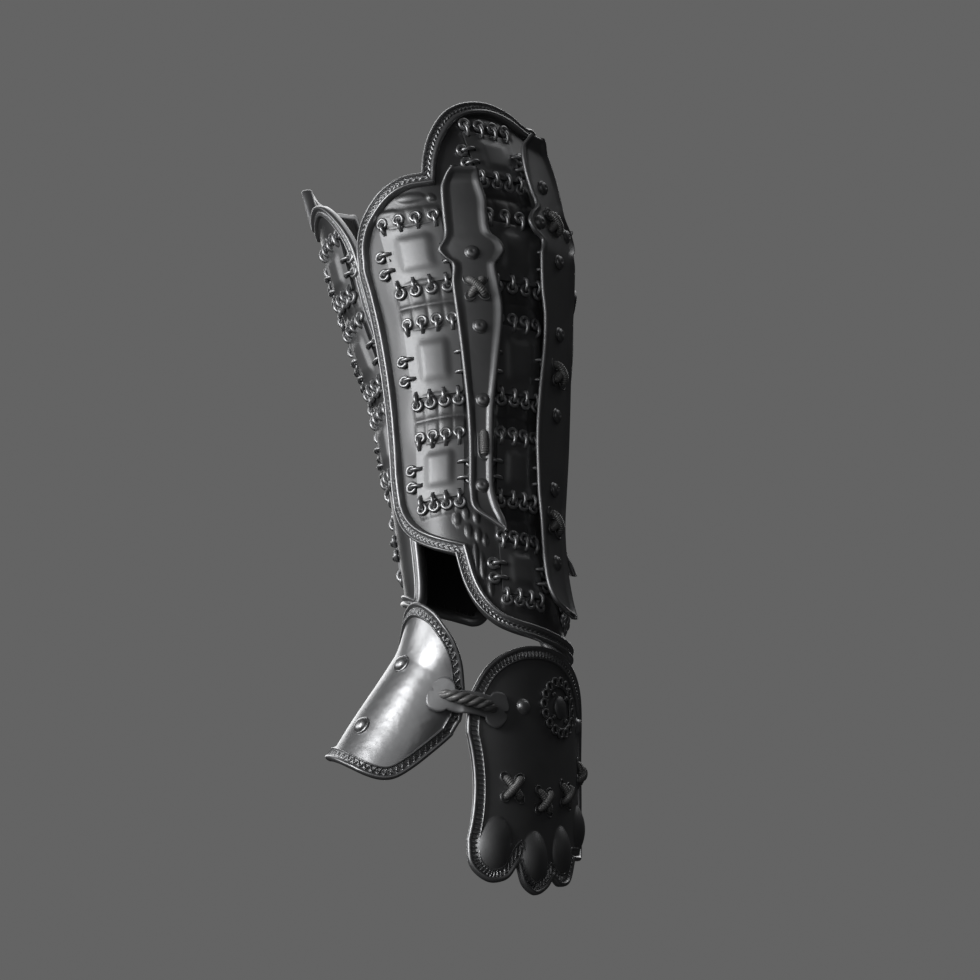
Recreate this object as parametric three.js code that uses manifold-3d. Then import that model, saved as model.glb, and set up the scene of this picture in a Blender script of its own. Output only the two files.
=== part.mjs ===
import * as THREE from 'three';
import { mergeVertices } from 'three/addons/utils/BufferGeometryUtils.js';
import Module from 'manifold-3d';

// Samurai arm armour for a left arm, in millimetres. +Z runs along the forearm to the elbow, +X is the outer
// side of the forearm, and the origin is the middle of the arm at the wrist opening.

const wasm = await Module();
wasm.setup();

// Driving dimensions
const gap = 0.3;
const leather = 3;
const plateSteel = 2;
const outerBorderWidth = 7;
const innerBorderWidth = 6;
const guardBorderWidth = 6.5;
const splintLift = 3.3;
const splintThickness = 1.7;
const splintEdgeRise = 1.1;
const rivetRadius = 3.4;
const rivetHeight = 1.7;
const rivetStemRadius = 1.5;
const handRadius = 62;
const thumbRadius = 28;
const strapThickness = 1.5;
const cordDiameter = 5.6;

// The outer face of the outer forearm shell: a tapered tube that leans back at the elbow and flares at the wrist
const shellMidHeight = 196;
const shellMidRadius = 54.8;
const shellTaper = 14.3;
const shellCurve = 1.2;
const shellTaperLength = 120;
const elbowLeanStart = 195;
const elbowLean = 17;
const elbowLeanLength = 60;
const wristFlareStart = 75;
const wristFlare = 9;
const waistHeight = 132;
const waistLength = 60;
const waistDepth = 0.055;

// Edge of the outer shell, from the middle of its back to its side, as matching points of the top and bottom edges
const outerEdge = [
  { topAngle: 0, top: 268.5, bottomAngle: 0, bottom: -4.3 },
  { topAngle: 12, top: 272, bottomAngle: 13, bottom: -3.9 },
  { topAngle: 24, top: 273.5, bottomAngle: 26, bottom: -3 },
  { topAngle: 36, top: 271, bottomAngle: 39, bottom: -1.5 },
  { topAngle: 47, top: 264.5, bottomAngle: 51, bottom: 2.5 },
  { topAngle: 57, top: 253, bottomAngle: 61, bottom: 10.5 },
  { topAngle: 64, top: 241, bottomAngle: 69, bottom: 22.5 },
  { topAngle: 67.5, top: 232.5, bottomAngle: 74.5, bottom: 40 },
  { topAngle: 77.5, top: 231.5, bottomAngle: 84.5, bottom: 43 },
  { topAngle: 88, top: 227.5, bottomAngle: 95, bottom: 47 },
  { topAngle: 98, top: 221, bottomAngle: 106, bottom: 53 },
  { topAngle: 108, top: 212.5, bottomAngle: 115, bottom: 61 },
  { topAngle: 115.5, top: 202, bottomAngle: 120, bottom: 71 },
  { topAngle: 118.5, top: 190, bottomAngle: 122, bottom: 84 },
];

// Sections of the inner shell: its centre is shifted away from the outer shell and its radius is its own
const innerShellAngle = 176;
const innerSections = [
  { height: 15, radius: 31.7, shift: 0 },
  { height: 60, radius: 35, shift: 0 },
  { height: 98, radius: 38.2, shift: 0 },
  { height: 122, radius: 40.9, shift: 0 },
  { height: 142, radius: 42.5, shift: 1.5 },
  { height: 166, radius: 42.6, shift: 8.5 },
  { height: 187, radius: 42.4, shift: 14 },
  { height: 212, radius: 45.2, shift: 16.5 },
  { height: 240, radius: 50, shift: 18 },
  { height: 262, radius: 53, shift: 19 },
];
const innerEdge = [
  { topAngle: 0, top: 255, bottomAngle: 0, bottom: 35 },
  { topAngle: 10, top: 255, bottomAngle: 12, bottom: 35 },
  { topAngle: 20, top: 256, bottomAngle: 24, bottom: 34 },
  { topAngle: 26, top: 255, bottomAngle: 34, bottom: 32.5 },
  { topAngle: 30, top: 236, bottomAngle: 42, bottom: 31 },
  { topAngle: 38, top: 238, bottomAngle: 50, bottom: 29 },
  { topAngle: 48, top: 239, bottomAngle: 58, bottom: 27 },
  { topAngle: 58, top: 235, bottomAngle: 66, bottom: 27.5 },
  { topAngle: 67, top: 226, bottomAngle: 72, bottom: 31.5 },
  { topAngle: 74, top: 214, bottomAngle: 75, bottom: 40 },
  { topAngle: 77, top: 200, bottomAngle: 76, bottom: 53 },
];
const innerHemTilt = 5;
const innerHemAngle = 60;

// Rows of linked plates, as lower and upper edges
const outerPlateRows = [
  { low: 19, high: 45.5, narrowing: 1 },
  { low: 70, high: 98, narrowing: 1 },
  { low: 121, high: 155, narrowing: 1 },
  { low: 177.5, high: 207, narrowing: 1 },
  { low: 231, high: 255, narrowing: 0.8 },
];
const outerPlateColumns = [
  { name: 'a', angle: -82, reach: 16, firstRow: 1, lastRow: 3 },
  { name: 'b', angle: -29, reach: 15.5, firstRow: 0, lastRow: 4 },
  { name: 'c', angle: 29, reach: 15.5, firstRow: 0, lastRow: 4 },
  { name: 'd', angle: 82, reach: 16, firstRow: 1, lastRow: 3 },
];
const innerPlateRows = [
  { low: 52, high: 78, narrowing: 1 },
  { low: 94, high: 124, narrowing: 1 },
  { low: 140, high: 172, narrowing: 1 },
  { low: 190, high: 216, narrowing: 1 },
];
const innerPlateColumns = [
  { name: 'e', angle: -50, reach: 15, firstRow: 1, lastRow: 3 },
  { name: 'f', angle: 0, reach: 16, firstRow: 0, lastRow: 3 },
  { name: 'g', angle: 50, reach: 15, firstRow: 1, lastRow: 3 },
];
const plateUnderside = 0.6;
const plateFlange = 1.6;
const plateCrown = 2.9;

// Splints: reach to both sides of their centre line, and how far they stand off at each height
const sideSplint = [
  { height: 47.5, left: -8.6, right: 10, lift: 6 },
  { height: 54, left: -1, right: 9.6, lift: 4 },
  { height: 60, left: 5.4, right: 7.6, lift: 2.3 },
  { height: 70, left: 6.6, right: 5.6, lift: 1 },
  { height: 94, left: 7.4, right: 5, lift: 0 },
  { height: 113, left: 8.6, right: 5.6, lift: 0 },
  { height: 134, left: 10.3, right: 8.6, lift: 0 },
  { height: 160, left: 11.8, right: 12.6, lift: 0 },
  { height: 174, left: 12, right: 11.6, lift: 0 },
  { height: 183, left: 10.8, right: 11.2, lift: 0 },
  { height: 186, left: 14, right: 13.6, lift: 0 },
  { height: 190.5, left: 16.4, right: 16.6, lift: 0 },
  { height: 195, left: 13.6, right: 14.4, lift: 0 },
  { height: 198.5, left: 12.4, right: 10.2, lift: 0 },
  { height: 207, left: 11.4, right: 10.4, lift: 0.5 },
  { height: 216, left: 9.9, right: 12.2, lift: 1.2 },
  { height: 222.5, left: 8.2, right: 11.9, lift: 1.9 },
  { height: 227, left: 5.2, right: 11.8, lift: 2.6 },
  { height: 231, left: 1.6, right: 11.4, lift: 3.4 },
];
const centreSplint = [
  { height: 14, left: 1, right: 11, lift: 2.4 },
  { height: 16.5, left: 7.4, right: 12.2, lift: 1.9 },
  { height: 20, left: 10.4, right: 12.6, lift: 1.4 },
  { height: 27, left: 12, right: 12.6, lift: 0.8 },
  { height: 38, left: 12, right: 12.4, lift: 0.3 },
  { height: 60, left: 12, right: 12.2, lift: 0 },
  { height: 80, left: 14.6, right: 14.6, lift: 0 },
  { height: 102, left: 16.8, right: 16.8, lift: 0 },
  { height: 124, left: 16.4, right: 16.4, lift: 0 },
  { height: 148, left: 14.4, right: 14.4, lift: 0 },
  { height: 163, left: 14.8, right: 14.2, lift: 0 },
  { height: 176, left: 17.4, right: 14.6, lift: 0 },
  { height: 193, left: 18.6, right: 13, lift: 0 },
  { height: 200.5, left: 17.8, right: 11.8, lift: 0 },
  { height: 203.5, left: 22.4, right: 15.4, lift: 0 },
  { height: 208.5, left: 24.6, right: 16.4, lift: 0 },
  { height: 213.5, left: 22.2, right: 13.2, lift: 0 },
  { height: 218.5, left: 17.6, right: 8.6, lift: 0 },
  { height: 226, left: 19.8, right: 7, lift: 0.5 },
  { height: 238, left: 21.6, right: 4.6, lift: 1.5 },
  { height: 249, left: 20.6, right: 0, lift: 2.7 },
  { height: 256, left: 16.4, right: -6, lift: 4 },
];
const sideSplintAngle = 54.5;
const sideRivets = [72.4, 115.3, 152, 188.7].map((height) => ({ height, offset: 0 }));
const centreRivets = [
  { height: 40.5, offset: 0 },
  { height: 78.2, offset: 0 },
  { height: 115.6, offset: 0 },
  { height: 156.7, offset: 0 },
  { height: 192.3, offset: -3.5 },
  { height: 230, offset: -8 },
];

// The hand guard: its frame stands at the middle of the hand, +X through the rosette and +Z to the wrist
const handPosition = new THREE.Vector3(-25.6, 12.8, -45.3);
const handTilt = { x: 6.5, y: 7.2, z: -4.5 };
const handWaistHeight = -22;
const handWaistLength = 26;
const handWaistDepth = 0.06;
const handEdge = [
  { topAngle: -51, top: 9, bottomAngle: -50.8, bottom: -49 },
  { topAngle: -50, top: 20.5, bottomAngle: -50, bottom: -59 },
  { topAngle: -47, top: 28.5, bottomAngle: -46, bottom: -65 },
  { topAngle: -42.5, top: 36.5, bottomAngle: -39.5, bottom: -68.2 },
  { topAngle: -36, top: 43, bottomAngle: -32, bottom: -66 },
  { topAngle: -27, top: 48, bottomAngle: -27, bottom: -59 },
  { topAngle: -18, top: 50.2, bottomAngle: -23.8, bottom: -68 },
  { topAngle: -10, top: 50.7, bottomAngle: -17, bottom: -71.8 },
  { topAngle: -3, top: 50, bottomAngle: -10.5, bottom: -68 },
  { topAngle: 3, top: 48.6, bottomAngle: -6, bottom: -62 },
  { topAngle: 10, top: 45.5, bottomAngle: 0, bottom: -64.6 },
  { topAngle: 16, top: 42, bottomAngle: 8, bottom: -61 },
  { topAngle: 22, top: 37.6, bottomAngle: 14, bottom: -49 },
  { topAngle: 27, top: 32.5, bottomAngle: 21, bottom: -47.5 },
  { topAngle: 32, top: 25, bottomAngle: 28, bottom: -45.5 },
  { topAngle: 35.5, top: 16, bottomAngle: 34, bottom: -40 },
  { topAngle: 37.5, top: 5, bottomAngle: 37.5, bottom: -30 },
];
const knuckles = [
  { angle: -38.3, height: -47, width: 12.4, length: 27 },
  { angle: -17, height: -51, width: 10.6, length: 26 },
  { angle: 1.5, height: -44, width: 10.4, length: 25 },
  { angle: 25, height: -28, width: 12, length: 22 },
];
const knuckleRise = 4.2;
const handRivetAngle = 23.4;
const handRivetHeight = 19.5;
const rosetteHeight = 23;
const rosetteRadius = 15.4;
const rosetteInnerRadius = 10.4;
const rosettePetals = 16;
const petalDepth = 1.1;
const bossRadius = 6;

// The thumb guard: half a tube that flares over the wrist, +X through its middle and +Z to the wrist
const thumbPosition = new THREE.Vector3(-14.4, -26.2, -29.4);
const thumbTilt = { x: -7.8, y: 37.3, z: -107.4 };
const thumbFlareStart = 12;
const thumbFlareLength = 26;
const thumbFlare = 8;
const thumbEdge = [
  { topAngle: 0, top: 38, bottomAngle: 0, bottom: -48 },
  { topAngle: 15, top: 37, bottomAngle: 18, bottom: -48 },
  { topAngle: 28, top: 34, bottomAngle: 36, bottom: -47.5 },
  { topAngle: 42, top: 30, bottomAngle: 52, bottom: -45.5 },
  { topAngle: 56, top: 24, bottomAngle: 64, bottom: -41 },
  { topAngle: 69, top: 16.5, bottomAngle: 73, bottom: -32.5 },
  { topAngle: 80, top: 9, bottomAngle: 82, bottom: -20 },
  { topAngle: 88, top: 1, bottomAngle: 89, bottom: -9 },
];
const thumbRivetHeights = [-26.6, 8.8];

// The tie: stations on the thumb guard, then on the hand guard
const tieOnThumb = [
  { angle: 46, height: 4.5, lift: 0.9 },
  { angle: 59, height: 5, lift: 1.9 },
  { angle: 71, height: 6, lift: 3.4 },
];
const tieOnHand = [
  { angle: -52, height: 18.5, lift: 4 },
  { angle: -46, height: 18, lift: 2.9 },
  { angle: -39.5, height: 16.5, lift: 1.4 },
  { angle: -32.5, height: 15, lift: 0.5 },
];
const strapWidths = [
  { along: 0, half: 7.4 },
  { along: 0.05, half: 10 },
  { along: 0.13, half: 10.4 },
  { along: 0.21, half: 7.6 },
  { along: 0.35, half: 7.2 },
  { along: 0.5, half: 7.2 },
  { along: 0.65, half: 7.2 },
  { along: 0.79, half: 7.6 },
  { along: 0.87, half: 10.4 },
  { along: 0.95, half: 10 },
  { along: 1, half: 7.4 },
];

const radians = THREE.MathUtils.degToRad;

function steel(colour, roughness) {
  return new THREE.MeshStandardMaterial({ color: colour, metalness: 0.9, roughness });
}
const plateSteelFinish = steel(0x5c5e60, 0.35);
const splintFinish = steel(0x4c4e50, 0.3);
const guardFinish = steel(0x6a6c6e, 0.28);
const leatherFinish = new THREE.MeshStandardMaterial({ color: 0x3c3d3e, metalness: 0.1, roughness: 0.45 });
const borderFinish = new THREE.MeshStandardMaterial({ color: 0x46474a, metalness: 0.1, roughness: 0.4 });
const cordFinish = new THREE.MeshStandardMaterial({ color: 0x55565a, metalness: 0, roughness: 0.7 });

// The value of one column of a table at a height, on a smooth curve through its rows
function sample(table, column, height) {
  const last = table.length - 1;
  let i = 0;
  while (i < last - 1 && height > table[i + 1].height) i += 1;
  const slopeAt = (k) => {
    const below = table[Math.max(k - 1, 0)];
    const above = table[Math.min(k + 1, last)];
    return (above[column] - below[column]) / (above.height - below.height);
  };
  const span = table[i + 1].height - table[i].height;
  const t = THREE.MathUtils.clamp((height - table[i].height) / span, 0, 1);
  const start = table[i][column];
  const end = table[i + 1][column];
  const ease = t * t * (3 - 2 * t);
  const startSlope = slopeAt(i) * span * t * (1 - t) * (1 - t);
  const endSlope = slopeAt(i + 1) * span * t * t * (t - 1);
  return start + (end - start) * ease + startSlope + endSlope;
}

function shellRadius(height) {
  const s = (height - shellMidHeight) / shellTaperLength;
  const flare = Math.max(0, (wristFlareStart - height) / wristFlareStart);
  return shellMidRadius + shellTaper * s + shellCurve * s * s + wristFlare * flare ** 1.8;
}

// Each surface gives the point at an angle and a height, standing off its outer face by the lift
function outerShellPoint(angle, height, lift) {
  const lean = elbowLean * Math.max(0, (height - elbowLeanStart) / elbowLeanLength) ** 1.3;
  const waist = 1 - waistDepth * Math.max(0, 1 - ((height - waistHeight) / waistLength) ** 2);
  const r = shellRadius(height) + lift;
  const a = radians(angle * waist);
  return new THREE.Vector3(r * Math.cos(a) - lean, r * Math.sin(a), height);
}

function innerShellPoint(angle, height, lift) {
  const r = sample(innerSections, 'radius', height) + lift;
  const shift = sample(innerSections, 'shift', height);
  const a = radians(innerShellAngle + angle);
  const middle = radians(innerShellAngle);
  return new THREE.Vector3(
    r * Math.cos(a) + shift * Math.cos(middle),
    r * Math.sin(a) + shift * Math.sin(middle),
    height,
  );
}

function handPoint(angle, height, lift) {
  const waist = 1 - handWaistDepth * Math.max(0, 1 - ((height - handWaistHeight) / handWaistLength) ** 2);
  const r = handRadius + lift;
  const a = radians(angle * waist);
  return new THREE.Vector3(r * Math.cos(a), r * Math.sin(a), height);
}

function thumbPoint(angle, height, lift) {
  const flare = thumbFlare * Math.max(0, (height - thumbFlareStart) / thumbFlareLength) ** 1.5;
  const r = thumbRadius + flare + lift;
  return new THREE.Vector3(r * Math.cos(radians(angle)), r * Math.sin(radians(angle)), height);
}

// A closed mesh from points and triangles, turned so that its faces point out
function closedMesh(points, triangles) {
  let volume = 0;
  for (const [a, b, c] of triangles) {
    volume += points[a].dot(new THREE.Vector3().crossVectors(points[b], points[c]));
  }
  const index = triangles.flatMap(([a, b, c]) => (volume < 0 ? [a, c, b] : [a, b, c]));
  const geometry = new THREE.BufferGeometry().setFromPoints(points);
  geometry.setIndex(index);
  geometry.computeVertexNormals();
  return geometry;
}

// A wall between matching grids of points on its two faces
function wallGeometry(outer, inner) {
  const columns = outer.length;
  const rows = outer[0].length;
  const back = columns * rows;
  const at = (i, j) => i * rows + j;
  const triangles = [];
  const quad = (a, b, c, d) => triangles.push([a, b, c], [a, c, d]);
  for (let i = 0; i < columns - 1; i++) {
    for (let j = 0; j < rows - 1; j++) {
      quad(at(i, j), at(i + 1, j), at(i + 1, j + 1), at(i, j + 1));
      quad(back + at(i, j), back + at(i, j + 1), back + at(i + 1, j + 1), back + at(i + 1, j));
    }
    const top = rows - 1;
    quad(at(i, 0), back + at(i, 0), back + at(i + 1, 0), at(i + 1, 0));
    quad(at(i, top), at(i + 1, top), back + at(i + 1, top), back + at(i, top));
  }
  for (let j = 0; j < rows - 1; j++) {
    const end = columns - 1;
    quad(at(0, j), at(0, j + 1), back + at(0, j + 1), back + at(0, j));
    quad(at(end, j), back + at(end, j), back + at(end, j + 1), at(end, j + 1));
  }
  return closedMesh([...outer.flat(), ...inner.flat()], triangles);
}

// A ring of sections that closes on itself, or a bar of sections with flat ends
function sweptGeometry(sections, closed) {
  const count = sections.length;
  const sides = sections[0].length;
  const points = sections.flat();
  const triangles = [];
  const at = (i, j) => (i % count) * sides + (j % sides);
  for (let i = 0; i < (closed ? count : count - 1); i++) {
    for (let j = 0; j < sides; j++) {
      triangles.push([at(i, j), at(i + 1, j), at(i + 1, j + 1)], [at(i, j), at(i + 1, j + 1), at(i, j + 1)]);
    }
  }
  if (!closed) {
    for (let j = 1; j < sides - 1; j++) {
      triangles.push([at(0, 0), at(0, j), at(0, j + 1)]);
      triangles.push([at(count - 1, 0), at(count - 1, j + 1), at(count - 1, j)]);
    }
  }
  return closedMesh(points, triangles);
}

// Solids joined into one
function fuse(geometries) {
  const solids = geometries.map((geometry) => {
    const bare = geometry.clone();
    bare.deleteAttribute('normal');
    bare.deleteAttribute('uv');
    const merged = mergeVertices(bare, 1e-3);
    return new wasm.Manifold(new wasm.Mesh({
      numProp: 3,
      vertProperties: new Float32Array(merged.attributes.position.array),
      triVerts: new Uint32Array(merged.index.array),
    }));
  });
  const mesh = solids.reduce((sum, solid) => sum.add(solid)).getMesh();
  const geometry = new THREE.BufferGeometry();
  geometry.setAttribute('position', new THREE.BufferAttribute(new Float32Array(mesh.vertProperties), 3));
  geometry.setIndex(Array.from(mesh.triVerts));
  geometry.computeVertexNormals();
  return geometry;
}

function mirrorEdge(half) {
  const flipped = half.slice(1).reverse().map((row) => ({
    ...row,
    topAngle: -row.topAngle,
    bottomAngle: -row.bottomAngle,
  }));
  return [...flipped, ...half];
}

// The closed outline of a wall: along the top, down one side, back along the bottom and up the other side
function outlineLoop(edge, sideRows) {
  const first = edge[0];
  const last = edge[edge.length - 1];
  const side = (row, t) => ({
    angle: row.topAngle + (row.bottomAngle - row.topAngle) * t,
    height: row.top + (row.bottom - row.top) * t,
  });
  const steps = Array.from({ length: sideRows }, (_, k) => (k + 1) / (sideRows + 1));
  return [
    ...edge.map((row) => ({ angle: row.topAngle, height: row.top })),
    ...steps.map((t) => side(last, t)),
    ...edge.map((row) => ({ angle: row.bottomAngle, height: row.bottom })).reverse(),
    ...steps.map((t) => side(first, 1 - t)),
  ];
}

// The same outline moved in from the edge by a distance, measured on the surface laid flat
function insetLoop(loop, distance, radiusAt) {
  const flat = loop.map((p) => new THREE.Vector2(radians(p.angle) * radiusAt(p.height), p.height));
  return flat.map((p, k) => {
    const before = flat[(k + flat.length - 1) % flat.length];
    const after = flat[(k + 1) % flat.length];
    const a = p.clone().sub(before).normalize();
    const b = after.clone().sub(p).normalize();
    const along = a.clone().add(b).normalize();
    const stretch = Math.min(1 / Math.max(a.dot(along), 0.1), 1.6);
    const x = p.x + along.y * distance * stretch;
    const y = p.y - along.x * distance * stretch;
    return { angle: THREE.MathUtils.radToDeg(x / radiusAt(y)), height: y };
  });
}

// A curved wall inside an outline, with its rows spread between the bottom and top edges
function fieldGeometry(edge, sideRows, inset, radiusAt, pointAt, thickness) {
  const loop = insetLoop(outlineLoop(edge, sideRows), inset, radiusAt);
  const columns = edge.length;
  const rows = sideRows + 2;
  const grid = (lift) => Array.from({ length: columns }, (_, i) => Array.from({ length: rows }, (_, j) => {
    const top = loop[i];
    const bottom = loop[2 * columns + sideRows - 1 - i];
    let place;
    if (i === columns - 1) {
      place = loop[columns - 1 + j];
    } else if (i === 0) {
      place = j === 0 ? top : loop[loop.length - j];
      if (j === rows - 1) place = bottom;
    } else {
      const t = j / (rows - 1);
      place = {
        angle: top.angle + (bottom.angle - top.angle) * t,
        height: top.height + (bottom.height - top.height) * t,
      };
    }
    return pointAt(place.angle, place.height, lift);
  }));
  return wallGeometry(grid(0), grid(-thickness));
}

// A rolled border around an outline: a low rounded bar that runs all the way round
function borderGeometry(edge, sideRows, width, profile, radiusAt, pointAt) {
  const loop = outlineLoop(edge, sideRows);
  const lines = profile.map(({ inset, lift }) => insetLoop(loop, inset * width, radiusAt)
    .map((p) => pointAt(p.angle, p.height, lift)));
  const sections = loop.map((_, k) => lines.map((line) => line[k]));
  return sweptGeometry(sections, true);
}

function borderProfile(underside, shoulder, crown) {
  return [
    { inset: 0, lift: underside * 0.6 },
    { inset: 0, lift: shoulder },
    { inset: 0.25, lift: crown },
    { inset: 0.75, lift: crown },
    { inset: 1, lift: shoulder },
    { inset: 1, lift: underside },
    { inset: 0.2, lift: underside },
  ];
}

// A plate with a flat flange and a raised square middle, bent to the surface that it lies on
function plateGeometry(centreAngle, reach, low, high, pointAt) {
  const across = [-1, -0.6, 0, 0.6, 1];
  const along = [0, 0.22, 0.78, 1];
  const raised = (i, j) => (i > 0 && i < across.length - 1 && j > 0 && j < along.length - 1);
  const grid = (liftAt) => across.map((u, i) => along.map((v, j) => (
    pointAt(centreAngle + u * reach, low + (high - low) * v, liftAt(i, j))
  )));
  const face = grid((i, j) => (raised(i, j) ? plateCrown : plateFlange));
  return wallGeometry(face, grid(() => plateUnderside));
}

// A domed rivet on a stem, standing along a direction at a point
function rivetGeometry(point, direction, stemLength) {
  const profile = [
    new THREE.Vector2(0, -stemLength),
    new THREE.Vector2(rivetStemRadius, -stemLength),
    new THREE.Vector2(rivetStemRadius, -0.4),
    new THREE.Vector2(rivetRadius, -0.4),
    new THREE.Vector2(rivetRadius * 0.86, rivetHeight * 0.6),
    new THREE.Vector2(0, rivetHeight),
  ];
  const geometry = new THREE.LatheGeometry(profile, 8);
  geometry.applyQuaternion(new THREE.Quaternion().setFromUnitVectors(new THREE.Vector3(0, 1, 0), direction));
  geometry.translate(point.x, point.y, point.z);
  return geometry;
}

function normalAt(pointAt, angle, height) {
  return pointAt(angle, height, 1).sub(pointAt(angle, height, 0)).normalize();
}

// A splint along the forearm with raised edges, and its rivets, whose stems go down to the leather
function splintGeometry(table, centreAngle, rivetPlaces, mirrored) {
  const sections = table.map((row) => {
    const r = shellRadius(row.height) + splintLift + splintThickness;
    const left = -(mirrored ? row.right : row.left);
    const right = mirrored ? row.left : row.right;
    const degrees = (reach) => centreAngle + THREE.MathUtils.radToDeg(reach / r);
    const low = splintLift + row.lift;
    const high = low + splintThickness;
    const middle = (left + right) / 2;
    const rim = Math.min(2, (right - left) / 4);
    const point = (reach, lift) => outerShellPoint(degrees(reach), row.height, lift);
    return [
      point(left, low + 0.4),
      point(left, high + splintEdgeRise),
      point(left + rim, high),
      point(middle, high),
      point(right - rim, high),
      point(right, high + splintEdgeRise),
      point(right, low + 0.4),
      point(middle, low),
    ];
  });
  const rivets = rivetPlaces.map(({ height, offset }) => {
    const lift = splintLift + splintThickness + sample(table, 'lift', height);
    const angle = centreAngle + offset;
    return rivetGeometry(outerShellPoint(angle, height, lift), normalAt(outerShellPoint, angle, height), lift - gap);
  });
  return fuse([sweptGeometry(sections, false), ...rivets]);
}

const armour = new THREE.Group();

function add(parent, name, geometry, material) {
  const mesh = new THREE.Mesh(geometry, material);
  mesh.name = name;
  parent.add(mesh);
  return mesh;
}

function addOuterShell() {
  const edge = mirrorEdge(outerEdge);
  const inset = outerBorderWidth + gap;
  add(armour, 'outer_shell',
    fieldGeometry(edge, 7, inset, shellRadius, outerShellPoint, leather), leatherFinish);
  add(armour, 'outer_border',
    borderGeometry(edge, 7, outerBorderWidth, borderProfile(-leather, 1.2, 2.5), shellRadius, outerShellPoint),
    borderFinish);
}

function addInnerShell() {
  const edge = mirrorEdge(innerEdge).map((row) => (
    { ...row, bottom: row.bottom - innerHemTilt * (row.bottomAngle / innerHemAngle) }
  ));
  const radiusAt = (height) => sample(innerSections, 'radius', height);
  const inset = innerBorderWidth + gap;
  add(armour, 'inner_shell',
    fieldGeometry(edge, 7, inset, radiusAt, innerShellPoint, leather), leatherFinish);
  add(armour, 'inner_border',
    borderGeometry(edge, 7, innerBorderWidth, borderProfile(-leather, 0.7, 1.4), radiusAt, innerShellPoint),
    borderFinish);
}

function addPlates(prefix, columns, rows, pointAt) {
  for (const { name, angle, reach, firstRow, lastRow } of columns) {
    for (let row = firstRow; row <= lastRow; row++) {
      const { low, high, narrowing } = rows[row];
      add(armour, `${prefix}_plate_${name}${row + 1}`,
        plateGeometry(angle, reach * narrowing, low, high, pointAt), plateSteelFinish);
    }
  }
}

function addSplints() {
  add(armour, 'splint_left',
    splintGeometry(sideSplint, -sideSplintAngle, sideRivets, false), splintFinish);
  add(armour, 'splint_centre', splintGeometry(centreSplint, 0, centreRivets, false), splintFinish);
  add(armour, 'splint_right',
    splintGeometry(sideSplint, sideSplintAngle, sideRivets, true), splintFinish);
}

function knuckleGeometry({ angle, height, width, length }) {
  const profile = [
    new THREE.Vector2(0, -0.9),
    new THREE.Vector2(1, -0.9),
    new THREE.Vector2(0.86, knuckleRise * 0.5),
    new THREE.Vector2(0.5, knuckleRise * 0.88),
    new THREE.Vector2(0, knuckleRise),
  ];
  const dome = new THREE.LatheGeometry(profile, 12);
  dome.rotateX(Math.PI / 2);
  dome.scale(width / 2, length / 2, 1);
  dome.rotateX(Math.PI / 2);
  dome.rotateZ(Math.PI / 2);
  dome.rotateZ(radians(angle));
  const at = handPoint(angle, height, 0);
  dome.translate(at.x, at.y, at.z);
  return dome;
}

function rosetteRing() {
  const turns = rosettePetals * 4;
  const radial = [rosetteInnerRadius, (rosetteInnerRadius + rosetteRadius) / 2, rosetteRadius];
  const grid = (lift) => Array.from({ length: turns }, (_, k) => {
    const turn = (k / turns) * 2 * Math.PI;
    const scallop = petalDepth * Math.abs(Math.cos((turn * rosettePetals) / 2));
    return radial.map((r, j) => {
      const reach = j === 2 ? r - petalDepth + scallop : r;
      const angle = THREE.MathUtils.radToDeg((reach * Math.cos(turn)) / handRadius);
      return handPoint(angle, rosetteHeight + reach * Math.sin(turn), lift);
    });
  });
  const face = grid(1.3);
  const back = grid(gap);
  const sections = face.map((line, k) => [...line, ...back[k].slice().reverse()]);
  return sweptGeometry(sections, true);
}

function rosetteBoss() {
  const profile = [
    new THREE.Vector2(0, 0),
    new THREE.Vector2(bossRadius, 0),
    new THREE.Vector2(bossRadius, 0.9),
    new THREE.Vector2(bossRadius * 0.7, 1.7),
    new THREE.Vector2(0, 2),
  ];
  const dome = new THREE.LatheGeometry(profile, 12);
  dome.rotateZ(-Math.PI / 2);
  const at = handPoint(0, rosetteHeight, gap);
  dome.translate(at.x, at.y, at.z);
  return dome;
}

function guardRivet(pointAt, angle, height) {
  return rivetGeometry(pointAt(angle, height, 0), normalAt(pointAt, angle, height), 1);
}

function addHandGuard() {
  const hand = new THREE.Group();
  hand.position.copy(handPosition);
  hand.rotation.set(radians(handTilt.x), radians(handTilt.y), radians(handTilt.z), 'XYZ');
  armour.add(hand);
  const radiusAt = () => handRadius;
  const field = fieldGeometry(handEdge, 6, guardBorderWidth + 2 * gap, radiusAt, handPoint, plateSteel);
  const rivets = [-1, 1].map((side) => guardRivet(handPoint, side * handRivetAngle, handRivetHeight));
  add(hand, 'hand_guard', fuse([field, ...knuckles.map(knuckleGeometry), ...rivets]), guardFinish);
  add(hand, 'hand_border',
    borderGeometry(handEdge, 6, guardBorderWidth, borderProfile(-plateSteel, 0.6, 1.6), radiusAt, handPoint),
    borderFinish);
  add(hand, 'rosette_ring', rosetteRing(), guardFinish);
  add(hand, 'rosette_boss', rosetteBoss(), guardFinish);
  return hand;
}

function addThumbGuard() {
  const thumb = new THREE.Group();
  thumb.position.copy(thumbPosition);
  thumb.rotation.set(radians(thumbTilt.x), radians(thumbTilt.y), radians(thumbTilt.z), 'XYZ');
  armour.add(thumb);
  const edge = mirrorEdge(thumbEdge);
  const radiusAt = (height) => thumbPoint(0, height, 0).x;
  const field = fieldGeometry(edge, 3, guardBorderWidth + gap, radiusAt, thumbPoint, plateSteel);
  const rivets = thumbRivetHeights.map((height) => guardRivet(thumbPoint, 0, height));
  add(thumb, 'thumb_guard', fuse([field, ...rivets]), guardFinish);
  add(thumb, 'thumb_border',
    borderGeometry(edge, 3, guardBorderWidth, borderProfile(-plateSteel, 0.6, 1.6), radiusAt, thumbPoint),
    borderFinish);
  return thumb;
}

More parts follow.
